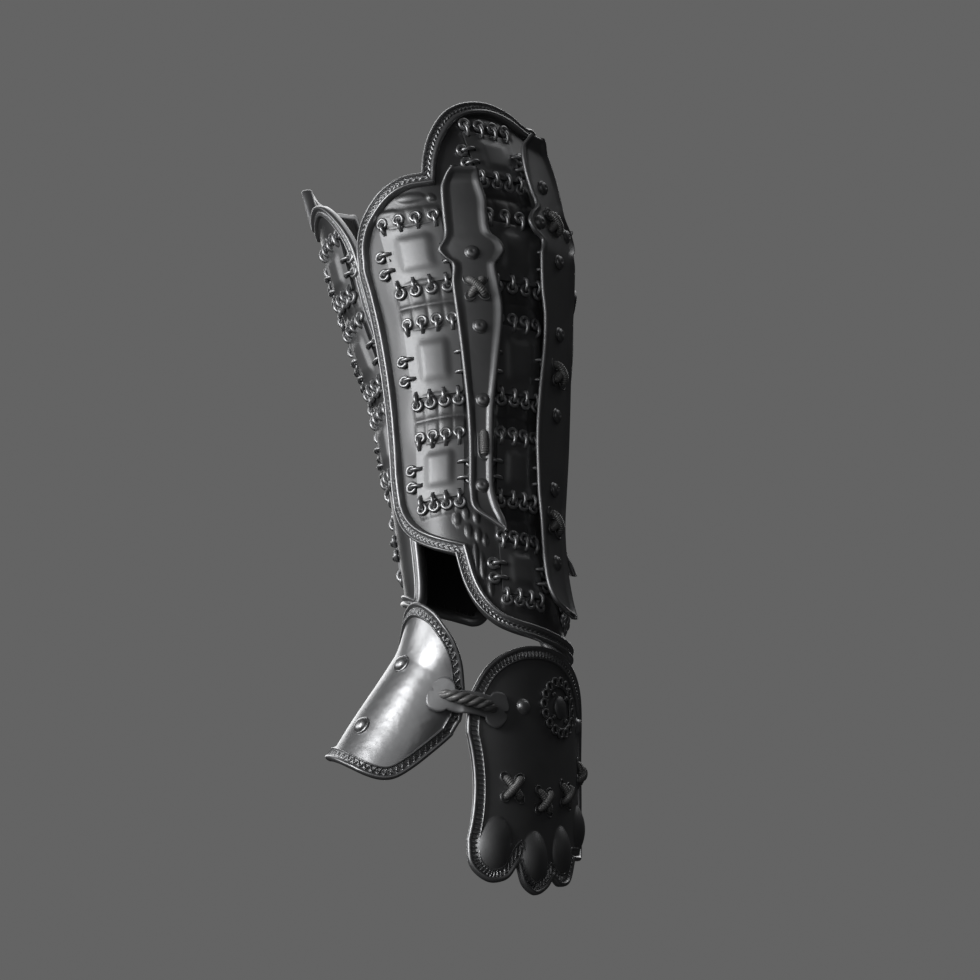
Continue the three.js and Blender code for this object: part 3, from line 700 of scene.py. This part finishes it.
def add_inner_shell():
    edge = mirrored(inner_edge)
    edge[:, 3] -= inner_hem_tilt * edge[:, 2] / inner_hem_angle
    middle = len(inner_edge) - 1
    corner_row = 4
    corners = [middle - corner_row, middle + corner_row]
    add_wall("inner_leather", edge, (corners, []), (180, 160), inner_surface, (4, 0.2), inner_relief,
             leather_thickness, leather, ["inner_shell"])
    beads = [(1.5, 1.5, 2.3), (5.2, 0.75, 1.5)]
    profile = border_profile(inner_border_width, 0.7, beads, -leather_thickness)
    add_rim("inner_braid", edge, corners, 7, profile, stitched(braid, 3.0, 4.5, 0.8, 0.5), inner_surface,
            0.9, ["inner_border"])


add_outer_shell()
add_inner_shell()

# Linked plates
plate_corner = 1.2
plate_rim_height = 1.5
plate_crown = 0.95
crown_flat = (0.36, 0.38)
crown_slope = (0.33, 0.34)
crown_roundness = 2.4
grid_margin = 1.5
grid_lines = 22
slot_inset = 2.6
slot_sides = 12
slot_long = 1.35
slot_short = 0.95
link_shares = (-0.84, -0.28, 0.27, 0.82)
side_link_shares = (0.16, -0.42)


def plate_outline(half_width, half_height):
    points = []
    for sx, sy, start in ((1, 1, 0), (-1, 1, 90), (-1, -1, 180), (1, -1, 270)):
        for k in range(4):
            a = math.radians(start + 30 * k)
            points.append((sx * (half_width - plate_corner) + plate_corner * math.cos(a),
                           sy * (half_height - plate_corner) + plate_corner * math.sin(a)))
    return points


def link_places(half_width, half_height):
    """Rows of place on the plate's edge and way out of it"""
    ends = [(u * half_width, side * half_height, 0, side) for side in (1, -1) for u in link_shares]
    sides = [(side * half_width, v * half_height, side, 0) for side in (-1, 1) for v in side_link_shares]
    return ends + sides


def slot_ring(x, y, out_x, out_y):
    wide, tall = (slot_long, slot_short) if out_x else (slot_short, slot_long)
    return [(x - out_x * slot_inset + math.cos(a) * wide, y - out_y * slot_inset + math.sin(a) * tall)
            for a in circle(slot_sides)]


def slotted_sheet(outline, slots, half_width, half_height):
    """Points and triangles of a flat plate with its slots cut out"""
    middles = np.array([np.mean(ring, 0) for ring in slots])
    columns = np.linspace(grid_margin - half_width, half_width - grid_margin, grid_lines)
    rows = np.linspace(grid_margin - half_height, half_height - grid_margin, grid_lines)
    inner = [p for p in itertools.product(columns, rows) if all(math.dist(p, m) > 1.9 for m in middles)]
    points = outline + [p for ring in slots for p in ring] + inner
    edges = []
    for start in range(len(outline), len(outline) + slot_sides * len(slots), slot_sides):
        edges += [(start + k, start + (k + 1) % slot_sides) for k in range(slot_sides)]
    border = [list(range(len(outline)))]
    flat, _, triangles, _, _, _ = delaunay_2d_cdt([Vector(p) for p in points], edges, border, 1, 1e-4)
    flat = np.array([tuple(p) for p in flat])
    keep = []
    for triangle in triangles:
        away = np.abs(middles - flat[list(triangle)].mean(0))
        if not np.any((away[:, 0] < 0.75) & (away[:, 1] < 0.75)):
            keep.append(list(triangle))
    return flat, keep


def add_plate(name, centre, reach, low, high, surface, replaces, links):
    radius_at, point_at = surface
    middle = (low + high) / 2
    radius = float(radius_at(middle))
    half_width = math.radians(reach) * radius
    half_height = (high - low) / 2
    outline = plate_outline(half_width, half_height)
    places = link_places(half_width, half_height)
    slots = [slot_ring(*row) for row in places]
    flat, triangles = slotted_sheet(outline, slots, half_width, half_height)
    share = np.abs(flat) / (half_width, half_height)
    fall = np.clip((share - crown_flat) / crown_slope, 0, 1) ** crown_roundness
    crown = smoothstep(0, 1, 1 - fall.sum(1) ** (1 / crown_roundness))

    def raised(p, lift):
        return point_at(centre + np.degrees(p[:, 0] / radius), middle + p[:, 1], lift)

    batch = Batch()
    batch.add(raised(flat, plate_rim_height + plate_crown * crown), triangles)
    for ring in [outline] + slots:
        ring = np.array(ring)
        wall = np.stack([raised(ring, plate_rim_height), raised(ring, 0.1)], 1)
        batch.add(wall, grid_faces(len(ring), 2, 0, True, False))
    batch.piece(name, plate_steel, "plate_steel", replaces)
    links += [(point_at, centre + math.degrees(x / radius), middle + y, ox, oy) for x, y, ox, oy in places]


def add_plates(columns, rows, surface, node):
    """All plates of a shell; gives the places of their links"""
    links = []
    for letter, (centre, reach, first, last) in columns.items():
        for row in range(first, last + 1):
            low, high = rows[row]
            narrowing = top_row_narrowing if row == 4 else 1
            add_plate(f"plate_{letter}{row + 1}", centre, reach * narrowing, low, high, surface,
                      [f"{node}_{letter}{row + 1}"], links)
    return links


outer_links = add_plates(outer_columns, outer_rows, outer_surface, "outer_plate")
inner_links = add_plates(inner_columns, inner_rows, inner_surface, "inner_plate")

# Links: a ring lies flat beside each slot, and a wire arches from its hole into the slot
wire_radius = 0.95
wire_sides = 8
ring_radius = 2.3
ring_away = 3.7
ring_rise = 0.8
arch_half_span = 3.05
arch_rise = 2.3
arch_stations = 11
arch_away = 0.55
arch_lift = 0.7
# Size and height of the painted shade discs in the slots
slot_shade_half_length = 1.5
slot_shade_half_width = 1.1
slot_shade_rise = 0.55


def link_frame(point_at, angle, height, out_x, out_y):
    """Centre and axes on a surface, and axes turned to the way out of the plate"""
    centre, axes = frame_at(point_at, angle, height)
    across, up, out = axes
    away = across * out_x + up * out_y
    return centre, axes, np.stack([away, np.cross(out, away), out])


def add_links(name, places):
    ring, ring_faces = torus(ring_radius, wire_radius, 18, wire_sides)
    turn = np.linspace(-0.12, 1.12, arch_stations) * math.pi
    route = np.stack([arch_half_span * np.cos(turn), 0 * turn, arch_rise * np.sin(turn)], -1)
    arch, arch_faces = swept(route, wire_radius, wire_sides, np.array([0, 1, 0]))
    batch = Batch()
    for row in places:
        centre, axes, stand = link_frame(*row)
        away, _, out = stand
        batch.add(placed(ring, centre + away * ring_away + out * ring_rise, axes), ring_faces)
        batch.add(placed(arch, centre + away * arch_away + out * arch_lift, stand), arch_faces)
    batch.piece(name, link_steel, "plate_steel")


def add_painted_slot_shade(name, places):
    """Painted shade: a near-black disc in each slot, just above the leather, standing in for the shadow
    inside the slot
    """
    batch = Batch()
    for row in places:
        centre, _, (away, beside, out) = link_frame(*row)
        middle = centre - away * slot_inset + out * slot_shade_rise
        points = oval(middle, away * slot_shade_half_length, beside * slot_shade_half_width, slot_sides)
        batch.add(points, [list(range(slot_sides))])
    batch.piece(name, painted_slot_shade, "plate_steel")


add_links("outer_links", outer_links)
add_links("inner_links", inner_links)
# Painted shade: dark discs in the slots of the outer and inner plates
add_painted_slot_shade("outer_slot_painted_shade", outer_links)
add_painted_slot_shade("inner_slot_painted_shade", inner_links)

# Splints
side_splint_angle = 54.5
side_splint = np.array([
    # height, left, right, lift
    (47.5, -8.6, 10, 6), (54, -1, 9.6, 4), (60, 5.4, 7.6, 2.3), (70, 6.6, 5.6, 1), (94, 7.4, 5, 0),
    (113, 8.6, 5.6, 0), (134, 10.3, 8.6, 0), (160, 11.8, 12.6, 0), (174, 12, 11.6, 0), (183, 10.8, 11.2, 0),
    (186, 14, 13.6, 0), (190.5, 16.4, 16.6, 0), (195, 13.6, 14.4, 0), (198.5, 12.4, 10.2, 0),
    (207, 11.4, 10.4, 0.5), (216, 9.9, 12.2, 1.2), (222.5, 8.2, 11.9, 1.9), (227, 5.2, 11.8, 2.6),
    (231, 1.6, 11.4, 3.4)])
centre_splint = np.array([
    # height, left, right, lift
    (14, 1, 11, 2.4), (16.5, 7.4, 12.2, 1.9), (20, 10.4, 12.6, 1.4), (27, 12, 12.6, 0.8), (38, 12, 12.4, 0.3),
    (60, 12, 12.2, 0), (80, 14.6, 14.6, 0), (102, 16.8, 16.8, 0), (124, 16.4, 16.4, 0), (148, 14.4, 14.4, 0),
    (163, 14.8, 14.2, 0), (176, 17.4, 14.6, 0), (193, 18.6, 13, 0), (200.5, 17.8, 11.8, 0),
    (203.5, 22.4, 15.4, 0), (208.5, 24.6, 16.4, 0), (213.5, 22.2, 13.2, 0), (218.5, 17.6, 8.6, 0),
    (226, 19.8, 7, 0.5), (238, 21.6, 4.6, 1.5), (249, 20.6, 0, 2.7), (256, 16.4, -6, 4)])
rolled_radius = 1.3
end_length = 3
end_curl = 2.4
curl_length = 7
station_step = 1.1


def splint_lift_at(table, height):
    return splint_lift + hermite(table, 3, height)


def splint_face(t, half, end_distance):
    """Rise of the dished face with its rolled sides and ends. t runs from side to side, -1 to 1"""
    side_distance = (1 - abs(t)) * half
    side = np.sqrt(np.clip(1 - (side_distance / (rolled_radius * 1.1)) ** 2, 0, 1)) * 0.9
    end_share = np.clip(end_distance / (rolled_radius * 2), 0, 1)
    end = np.sqrt(np.clip(1 - (2 * end_share - 1) ** 2, 0, 1))
    return rolled_radius * np.maximum(side, end) - 0.25 * (1 - t * t)


def add_splint(name, table, centre, mirror, replaces):
    low, high = table[[0, -1], 0]
    heights = np.unique(np.r_[np.linspace(low, low + end_length, 8),
                              np.arange(low + end_length, high - end_length, station_step),
                              np.linspace(high - end_length, high, 8)])
    left = hermite(table, 1, heights)
    right = hermite(table, 2, heights)
    if mirror:
        left, right = right, left
    half = (left + right) / 2
    middle = (right - left) / 2
    face_half = np.maximum(half - rolled_radius * 1.5, 0.2)
    lift = splint_lift_at(table, heights)
    top = lift + splint_thickness
    end_distance = np.minimum(heights - low, high - heights)
    rolled = [(rolled_radius * (1 - math.cos(a)), top + rolled_radius * (0.15 + math.sin(a)))
              for a in np.linspace(-0.5 * math.pi, 0.5 * math.pi, 7)]
    section = [(middle + half * t * 0.92, lift) for t in np.linspace(0.9, -0.9, 5)]
    section += [(inset - left, rise) for inset, rise in rolled]
    section += [(middle + face_half * t, top + splint_face(t, face_half, end_distance))
                for t in np.linspace(-1, 1, 17)]
    section += [(right - inset, rise) for inset, rise in rolled[::-1]]
    curl = end_curl * smoothstep(high - curl_length, high, heights)
    radius = outer_radius_at(heights) + top
    rows = [outer_point(centre + np.degrees(reach / radius), heights, rise + curl) for reach, rise in section]
    points = np.stack(rows, 1)
    piece(name, points, capped_faces(len(heights), len(section)), [splint_steel], replaces)


add_splint("left_splint", side_splint, -side_splint_angle, False, ["splint_left"])
add_splint("middle_splint", centre_splint, 0, False, ["splint_centre"])
add_splint("right_splint", side_splint, side_splint_angle, True, ["splint_right"])

# Rivets
splint_rivet = [
    # radius, height
    (0, -3.0), (2.2, -3.0), (2.2, -0.2), (3.7, -0.2), (3.75, 0.1), (3.6, 0.3), (3.3, 0.42), (3.15, 0.5),
    (3.05, 0.85), (2.7, 1.3), (2.2, 1.62), (1.6, 1.8), (1.1, 1.86), (0.85, 1.84), (0.6, 1.74), (0.3, 1.7),
    (0, 1.7)]
guard_rivet = [
    (0, -0.6), (3.9, -0.6), (3.9, 0.25), (3.5, 0.4), (3.3, 0.5), (3.15, 1.1), (2.6, 1.7), (1.8, 2.1),
    (0.9, 2.3), (0, 2.35)]
sunk = 0.2
side_rivet_heights = [72.4, 115.3, 152, 188.7]
centre_rivets = [
    # angle, height
    (0, 40.5), (0, 78.2), (0, 115.6), (0, 156.7), (-3.5, 192.3), (-8, 230)]
ear_rivet_angles = (-15.2, 7)
ear_rivet_height = 209.5


def add_rivets(name, places, profile, scale, material, slot):
    """Rivets at places of surface, angle, height, lift"""
    batch = Batch()
    points, faces = dome(np.array(profile) * scale, 24)
    for row in places:
        batch.add(placed(points, *frame_at(*row)), faces)
    batch.piece(name, material, slot)


def add_splint_rivets():
    above = splint_thickness - sunk
    places = [(outer_point, side * side_splint_angle, height, splint_lift_at(side_splint, height) + above)
              for side in (-1, 1) for height in side_rivet_heights]
    places += [(outer_point, angle, height, splint_lift_at(centre_splint, height) + above)
               for angle, height in centre_rivets]
    places += [(outer_point, angle, ear_rivet_height, splint_lift + above) for angle in ear_rivet_angles]
    add_rivets("splint_rivets", places, splint_rivet, 1, splint_steel, "splint_steel")


add_splint_rivets()

# Crossed lacings and long stitches: ribbed cords that dive into holes, inside a raised outline
splint_cross_size = 9.2
hand_cross_size = 9.8
cross_cord_radius = 1.85
cross_outline = 0.42
cross_places = [
    # angle, height
    (-side_splint_angle, 171.3), (side_splint_angle, 171.3), (-4.8, 212), (0, 136.7), (0, 61.2)]
hand_cross_places = [
    # angle, height, scale, width over height
    (-31, -21, 1.05, 0.85), (-12, -25, 1.0, 0.8), (6, -18.5, 0.95, 0.8), (29, -3, 0.95, 0.8)]
stitch_angle = 54.1
stitch_height = 93.9
stitch_half_length = 6.4
stitch_radius = 2.15


def ribbed_cord(start, end, rise, radius, out, pitch=0.85, turns=14):
    ribs = np.linalg.norm(end - start) / pitch
    t = np.linspace(0, 1, int(ribs * 6))[:, None]
    path = start + (end - start) * t + out * rise * (1 - np.abs(2 * t - 1) ** 3)
    rib = 1 + 0.09 * np.cos(FULL_TURN * t * ribs + circle(turns))
    tip = np.sqrt(np.clip(1 - np.abs(2 * t - 1) ** 9, 0.04, 1))
    return swept(path, radius * rib * tip, turns, out)


def add_crosses(name, places, size, over):
    """Crosses at places of surface, angle, height, lift, scale, width over height. over is 1 where the upper
    cord rises to the right, and -1 where it falls"""
    cords = Batch()
    rims = Batch()
    for *where, scale, spread_share in places:
        centre, (across, up, out) = frame_at(*where)
        half = size / 2 * scale
        radius = cross_cord_radius * scale
        sunk_centre = centre - out * 0.5
        for rise, slope in ((1.9, -over), (3.4, over)):
            way = across * half * spread_share + up * slope * half
            cords.add(*ribbed_cord(sunk_centre + way, sunk_centre - way, rise, radius, out))
        for sx, sy in ((-1, -1), (-1, 1), (1, -1), (1, 1)):
            way = across * sx * spread_share + up * sy
            hole = centre + way * half * 0.86
            way = unit(way)
            beside = np.cross(out, way)
            path = oval(hole + out * 0.05, way * (radius + 1.25), beside * (radius + 0.5), 26)
            rims.add(*closed_tube(path, cross_outline * scale, out))
    cords.piece(name + "_cords", cord, "cord")
    rims.piece(name + "_rims", splint_steel, "splint_steel")


def add_long_stitches(lift):
    cords = Batch()
    rims = Batch()
    turn = circle(48)
    for side in (-1, 1):
        centre, (across, up, out) = frame_at(outer_point, side * stitch_angle, stitch_height, lift)
        end = up * stitch_half_length
        cords.add(*ribbed_cord(centre - end, centre + end, 0.6, stitch_radius, out, 1.05, 16))
        lengthwise = np.sin(turn) * 4 + 4.6 * np.tanh(4 * np.sin(turn))
        path = centre + np.outer(np.cos(turn) * 2.9, across) + np.outer(lengthwise, up) + out * 0.05
        rims.add(*closed_tube(path, 0.4, out))
    cords.piece("splint_stitches", cord, "cord")
    rims.piece("splint_stitch_rims", splint_steel, "splint_steel")


face_lift = splint_lift + splint_thickness - sunk
lace_places = [(outer_point, angle, height, face_lift, 1, 0.85) for angle, height in cross_places]
add_crosses("splint_laces", lace_places, splint_cross_size, -1)
add_long_stitches(face_lift)

# The hand guard
knuckle_rise = 3.9
knuckles = [
    # angle, height, half width, half height
    (-38, -49.5, 9.6, 14), (-17, -53.5, 8.6, 13), (2, -47, 8.4, 12.5), (25, -31, 8.6, 11.5)]
scallop_rows = (12, 9, 5)
guard_beads = [(1.25, 1.25, 1.9), (6.0, 0.5, 1.5)]
guard_profile = border_profile(guard_border_width, 0.3, guard_beads, -guard_thickness)
hand_rivet_angle = 23.4
hand_rivet_height = 19.5


def hand_relief(angle, height, x):
    lift = np.zeros(np.shape(height))
    for centre, middle, half_width, half_height in knuckles:
        dy = (height - middle) / half_height
        dx = (x - math.radians(centre) * hand_radius) / (half_width * (1 - 0.12 * np.clip(dy, -1, 1)))
        lift = np.maximum(lift, knuckle_rise * np.clip(1 - dx * dx - dy * dy, 0, 1) ** 0.85)
    return lift


def add_hand_guard():
    side_rows = 6
    add_wall("hand_plate", hand_edge, ([], scallop_rows), (210, 220), hand_surface, (4.2, 0.35), hand_relief,
             guard_thickness, guard_steel, ["hand_guard"])
    corners = bottom_corners(hand_edge, side_rows, scallop_rows)
    add_rim("hand_braid", hand_edge, corners, side_rows, guard_profile, stitched(slanted, 2.4, 5.6, 1.2),
            hand_surface, 0.38, ["hand_border"])
    places = [(hand_point, side * hand_rivet_angle, hand_rivet_height, 0) for side in (-1, 1)]
    add_rivets("hand_rivets", places, guard_rivet, 1, bright_steel, "guard_steel")
    places = [(hand_point, angle, height, 0, *form) for angle, height, *form in hand_cross_places]
    add_crosses("hand_laces", places, hand_cross_size, 1)


add_hand_guard()

# The rosette: pierced petals round a ring, four beads and a raised oval
rosette_height = 23.0
petals = 16
petal_circle = 12.6
petal_radius = 1.95
petal_wire = 0.75
rosette_ring_radius = 10.3
rosette_ring_wire = 0.55
rosette_bead_circle = 7.9
rosette_bead = [(0, 1.4), (0.7, 1.25), (1.15, 0.8), (1.3, 0.2), (1.3, -0.3), (0, -0.3)]
rosette_oval = [(0, 2.2), (2.2, 2.1), (4.2, 1.6), (5.4, 0.9), (5.8, 0.3), (5.8, -0.2), (0, -0.2)]
oval_width = 0.82


def rosette_place(radius, turn, lift):
    """Surface, angle, height and lift at a radius and a turn round the rosette's middle"""
    angle = np.degrees(radius * np.cos(turn) / hand_radius)
    return hand_point, angle, rosette_height + radius * np.sin(turn), lift


def add_rosette():
    batch = Batch()
    petal, petal_faces = torus(petal_radius, petal_wire, 20, 8)
    for turn in circle(petals):
        centre, axes = frame_at(*rosette_place(petal_circle, turn, 0.35))
        batch.add(placed(petal, centre + axes[2] * 0.3, axes), petal_faces)
    _, angle, height, lift = rosette_place(rosette_ring_radius, circle(72), 0.55)
    out = frame_at(hand_point, 0, rosette_height)[1][2]
    batch.add(*closed_tube(hand_point(angle, height, lift), rosette_ring_wire, out))
    bead, bead_faces = dome(rosette_bead, 16)
    for turn in circle(4) + math.pi / 4:
        batch.add(placed(bead, *frame_at(*rosette_place(rosette_bead_circle, turn, 0.2))), bead_faces)
    batch.piece("rosette_petals", guard_steel, "guard_steel", ["rosette_ring"])
    points, faces = dome(rosette_oval, 40)
    narrow = points * np.array([oval_width, 1, 1])
    raised = placed(narrow, *frame_at(hand_point, 0, rosette_height, 0.1))
    piece("rosette_oval", raised, faces, [guard_steel], ["rosette_boss"])


add_rosette()

# The thumb guard
thumb_rivet_heights = (-26.6, 8.8)


def thumb_relief(angle, height, x):
    return 0.25 * np.sin(x * 0.12 + 0.4) * np.sin(height * 0.11 + 1.2)


def add_thumb_guard():
    edge = mirrored(thumb_edge)
    add_wall("thumb_plate", edge, ([], []), (150, 150), thumb_surface, (4.2, 0.3), thumb_relief,
             guard_thickness, bright_steel, ["thumb_guard"])
    add_rim("thumb_braid", edge, [], 3, guard_profile, stitched(zigzag, 2.4, 5.6, 1.5), thumb_surface, 0.4,
            ["thumb_border"])
    places = [(thumb_point, 0, height, 0) for height in thumb_rivet_heights]
    add_rivets("thumb_rivets", places, guard_rivet, 1.2, bright_steel, "guard_steel")


add_thumb_guard()

# The tie: a strap with lobed ends and a cord of three strands
tie_on_thumb = [
    # angle, height, lift
    (46, 4.5, 0.9), (59, 5, 1.9), (71, 6, 3.4)]
tie_on_hand = [(-52, 18.5, 4), (-46, 18, 2.9), (-39.5, 16.5, 1.4), (-32.5, 15, 0.5)]
strap_thickness = 1.5
strap_half_width = 5.6
lobe_half_width = 9
lobe_middle = 4.8
lobe_end = 10.5
cord_start = 0.13
cord_end = 0.87
cord_clearance = 3.4
cord_twists = 2.1
strand_radius = 1.5
strand_reach = 1.6


def tie_curve(t, lift=0.0):
    stations = [thumb_point(angle, height, rise + lift) for angle, height, rise in tie_on_thumb]
    stations += [hand_point(angle, height, rise + lift) for angle, height, rise in tie_on_hand]
    return smooth_line(stations, [], np.asarray(t, float) * (len(stations) - 1))


def strap_half_at(end_distance):
    """Half width of the strap: a round lobe at each end, with a shoulder into the straight part"""
    lobe = lobe_half_width - strap_half_width
    shoulder = np.sqrt(np.clip(1 - ((end_distance - lobe_middle) / 5.7) ** 2, 0, 1))
    tip = np.sqrt(np.clip(1 - ((end_distance - lobe_middle) / 5.2) ** 2, 0, 1))
    half = np.where(end_distance < lobe_end, strap_half_width + lobe * shoulder, strap_half_width)
    return np.where(end_distance < lobe_middle, lobe_half_width * tip, half)


def add_strap():
    low = tie_curve(np.linspace(0, 1, 90))
    out = unit(tie_curve(np.linspace(0, 1, 90), 1.0) - low)
    tangent = unit(np.gradient(low, axis=0))
    beside = np.cross(tangent, out)
    along = np.r_[0, np.cumsum(np.linalg.norm(np.diff(low, axis=0), axis=1))]
    end_distance = np.minimum(along, along[-1] - along)
    w = np.linspace(-1, 1, 25)
    notch = 2.2 * np.clip(1 - end_distance / 3, 0, 1)[:, None] * np.clip(1 - np.abs(w) / 0.35, 0, 1)
    inward = np.where(along < along[-1] / 2, 1.0, -1.0)[:, None]
    reach = (strap_half_at(end_distance)[:, None] * w)[..., None]
    flat = low[:, None, :] + reach * beside[:, None, :] + (notch * inward)[..., None] * tangent[:, None, :]
    edge_round = 0.35 * np.clip((np.abs(w) - 0.85) / 0.15, 0, 1) ** 2
    upper = flat + (strap_thickness - edge_round)[None, :, None] * out[:, None, :]
    under = flat + 0.15 * out[:, None, :]
    section = np.hstack([upper, under[:, ::-1]])
    faces = grid_faces(*section.shape[:2], 0, False, True)
    piece("lobed_strap", section, faces, [strap_leather], ["tie_strap"])


def add_cord():
    """The cord arches clear of the strap between two holes, and its ends dive into them"""
    start, end = tie_curve([cord_start, cord_end])
    out = unit((tie_curve([0.3, 0.5, 0.7], 1.0) - tie_curve([0.3, 0.5, 0.7])).mean(0))
    k = np.linspace(0, 1, 150)
    straight = start + (end - start) * k[:, None]
    strap_rise = (tie_curve(cord_start + (cord_end - cord_start) * k) - straight) @ out
    arch = max(strap_rise.max(), 0) + cord_clearance
    from_middle = np.abs(2 * k - 1)
    core = straight + out * (1.4 + arch * (1 - from_middle ** 2.6) - 3.2 * from_middle ** 12)[:, None]
    side = np.cross(unit(np.gradient(core, axis=0)), out)
    batch = Batch()
    for strand in range(3):
        phase = FULL_TURN * (strand / 3 + k * cord_twists)
        path = core + strand_reach * (np.cos(phase)[:, None] * side + np.sin(phase)[:, None] * out)
        batch.add(*swept(path, strand_radius, 12, out))
    batch.piece("three_strand_cord", cord, "cord", ["twisted_cord"])


add_strap()
add_cord()

# Floor, backdrop and lamps
floor_half_size = 15
floor_height = -6.3
lamp_distance = 1.6
lamp_target = Vector((0, 0, 0.08))


def add_floor():
    mesh = bpy.data.meshes.new("floor")
    corners = [(x * floor_half_size, y * floor_half_size, floor_height)
               for x, y in ((-1, -1), (1, -1), (1, 1), (-1, 1))]
    mesh.from_pydata(corners, [], [(0, 1, 2, 3)])
    material, _ = new_material("floor_material", (0.6, 0.6, 0.6), metallic=0, roughness=0.9)
    mesh.materials.append(material)
    add_object("floor", mesh)


def add_world():
    """A plain grey backdrop for the camera, and darker surroundings for the light on the armour"""
    world = bpy.data.worlds.new("studio")
    world.use_nodes = True
    nodes = world.node_tree.nodes
    links = world.node_tree.links
    backdrop = nodes["Background"]
    surroundings = nodes.new("ShaderNodeBackground")
    backdrop.inputs["Color"].default_value = (0.127, 0.127, 0.127, 1)
    surroundings.inputs["Color"].default_value = (0.014, 0.014, 0.0145, 1)
    to_camera = nodes.new("ShaderNodeLightPath").outputs["Is Camera Ray"]
    chosen = nodes.new("ShaderNodeMixShader")
    for source, target in zip((to_camera, surroundings.outputs[0], backdrop.outputs[0]), chosen.inputs):
        links.new(source, target)
    links.new(chosen.outputs[0], nodes["World Output"].inputs["Surface"])
    bpy.context.scene.world = world
    bpy.context.scene.view_settings.view_transform = "Standard"


def add_lamp(name, right, up, toward, size, power):
    """A round soft lamp. Its direction is right and up in the picture and toward the camera"""
    data = bpy.data.lights.new(name, "AREA")
    data.shape = "DISK"
    data.size = size
    data.energy = power
    lamp = add_object(name, data)
    direction = (view_right * right + view_up * up + view_back * toward).normalized()
    lamp.location = lamp_target + direction * lamp_distance
    lamp.rotation_euler = direction.to_track_quat("Z", "Y").to_euler()


add_floor()
add_world()
add_lamp("key_lamp", -1.0, 0.45, 0.72, size=0.8, power=12)
add_lamp("left_lamp", -1.0, 0.2, -0.05, size=0.7, power=4)
add_lamp("front_lamp", -0.1, 0.35, 1.0, size=1.2, power=1.2)
add_lamp("back_lamp", -0.12, 0.35, -1.0, size=1.6, power=14)
add_lamp("right_lamp", 0.8, 1.2, -0.9, size=1.0, power=2.4)
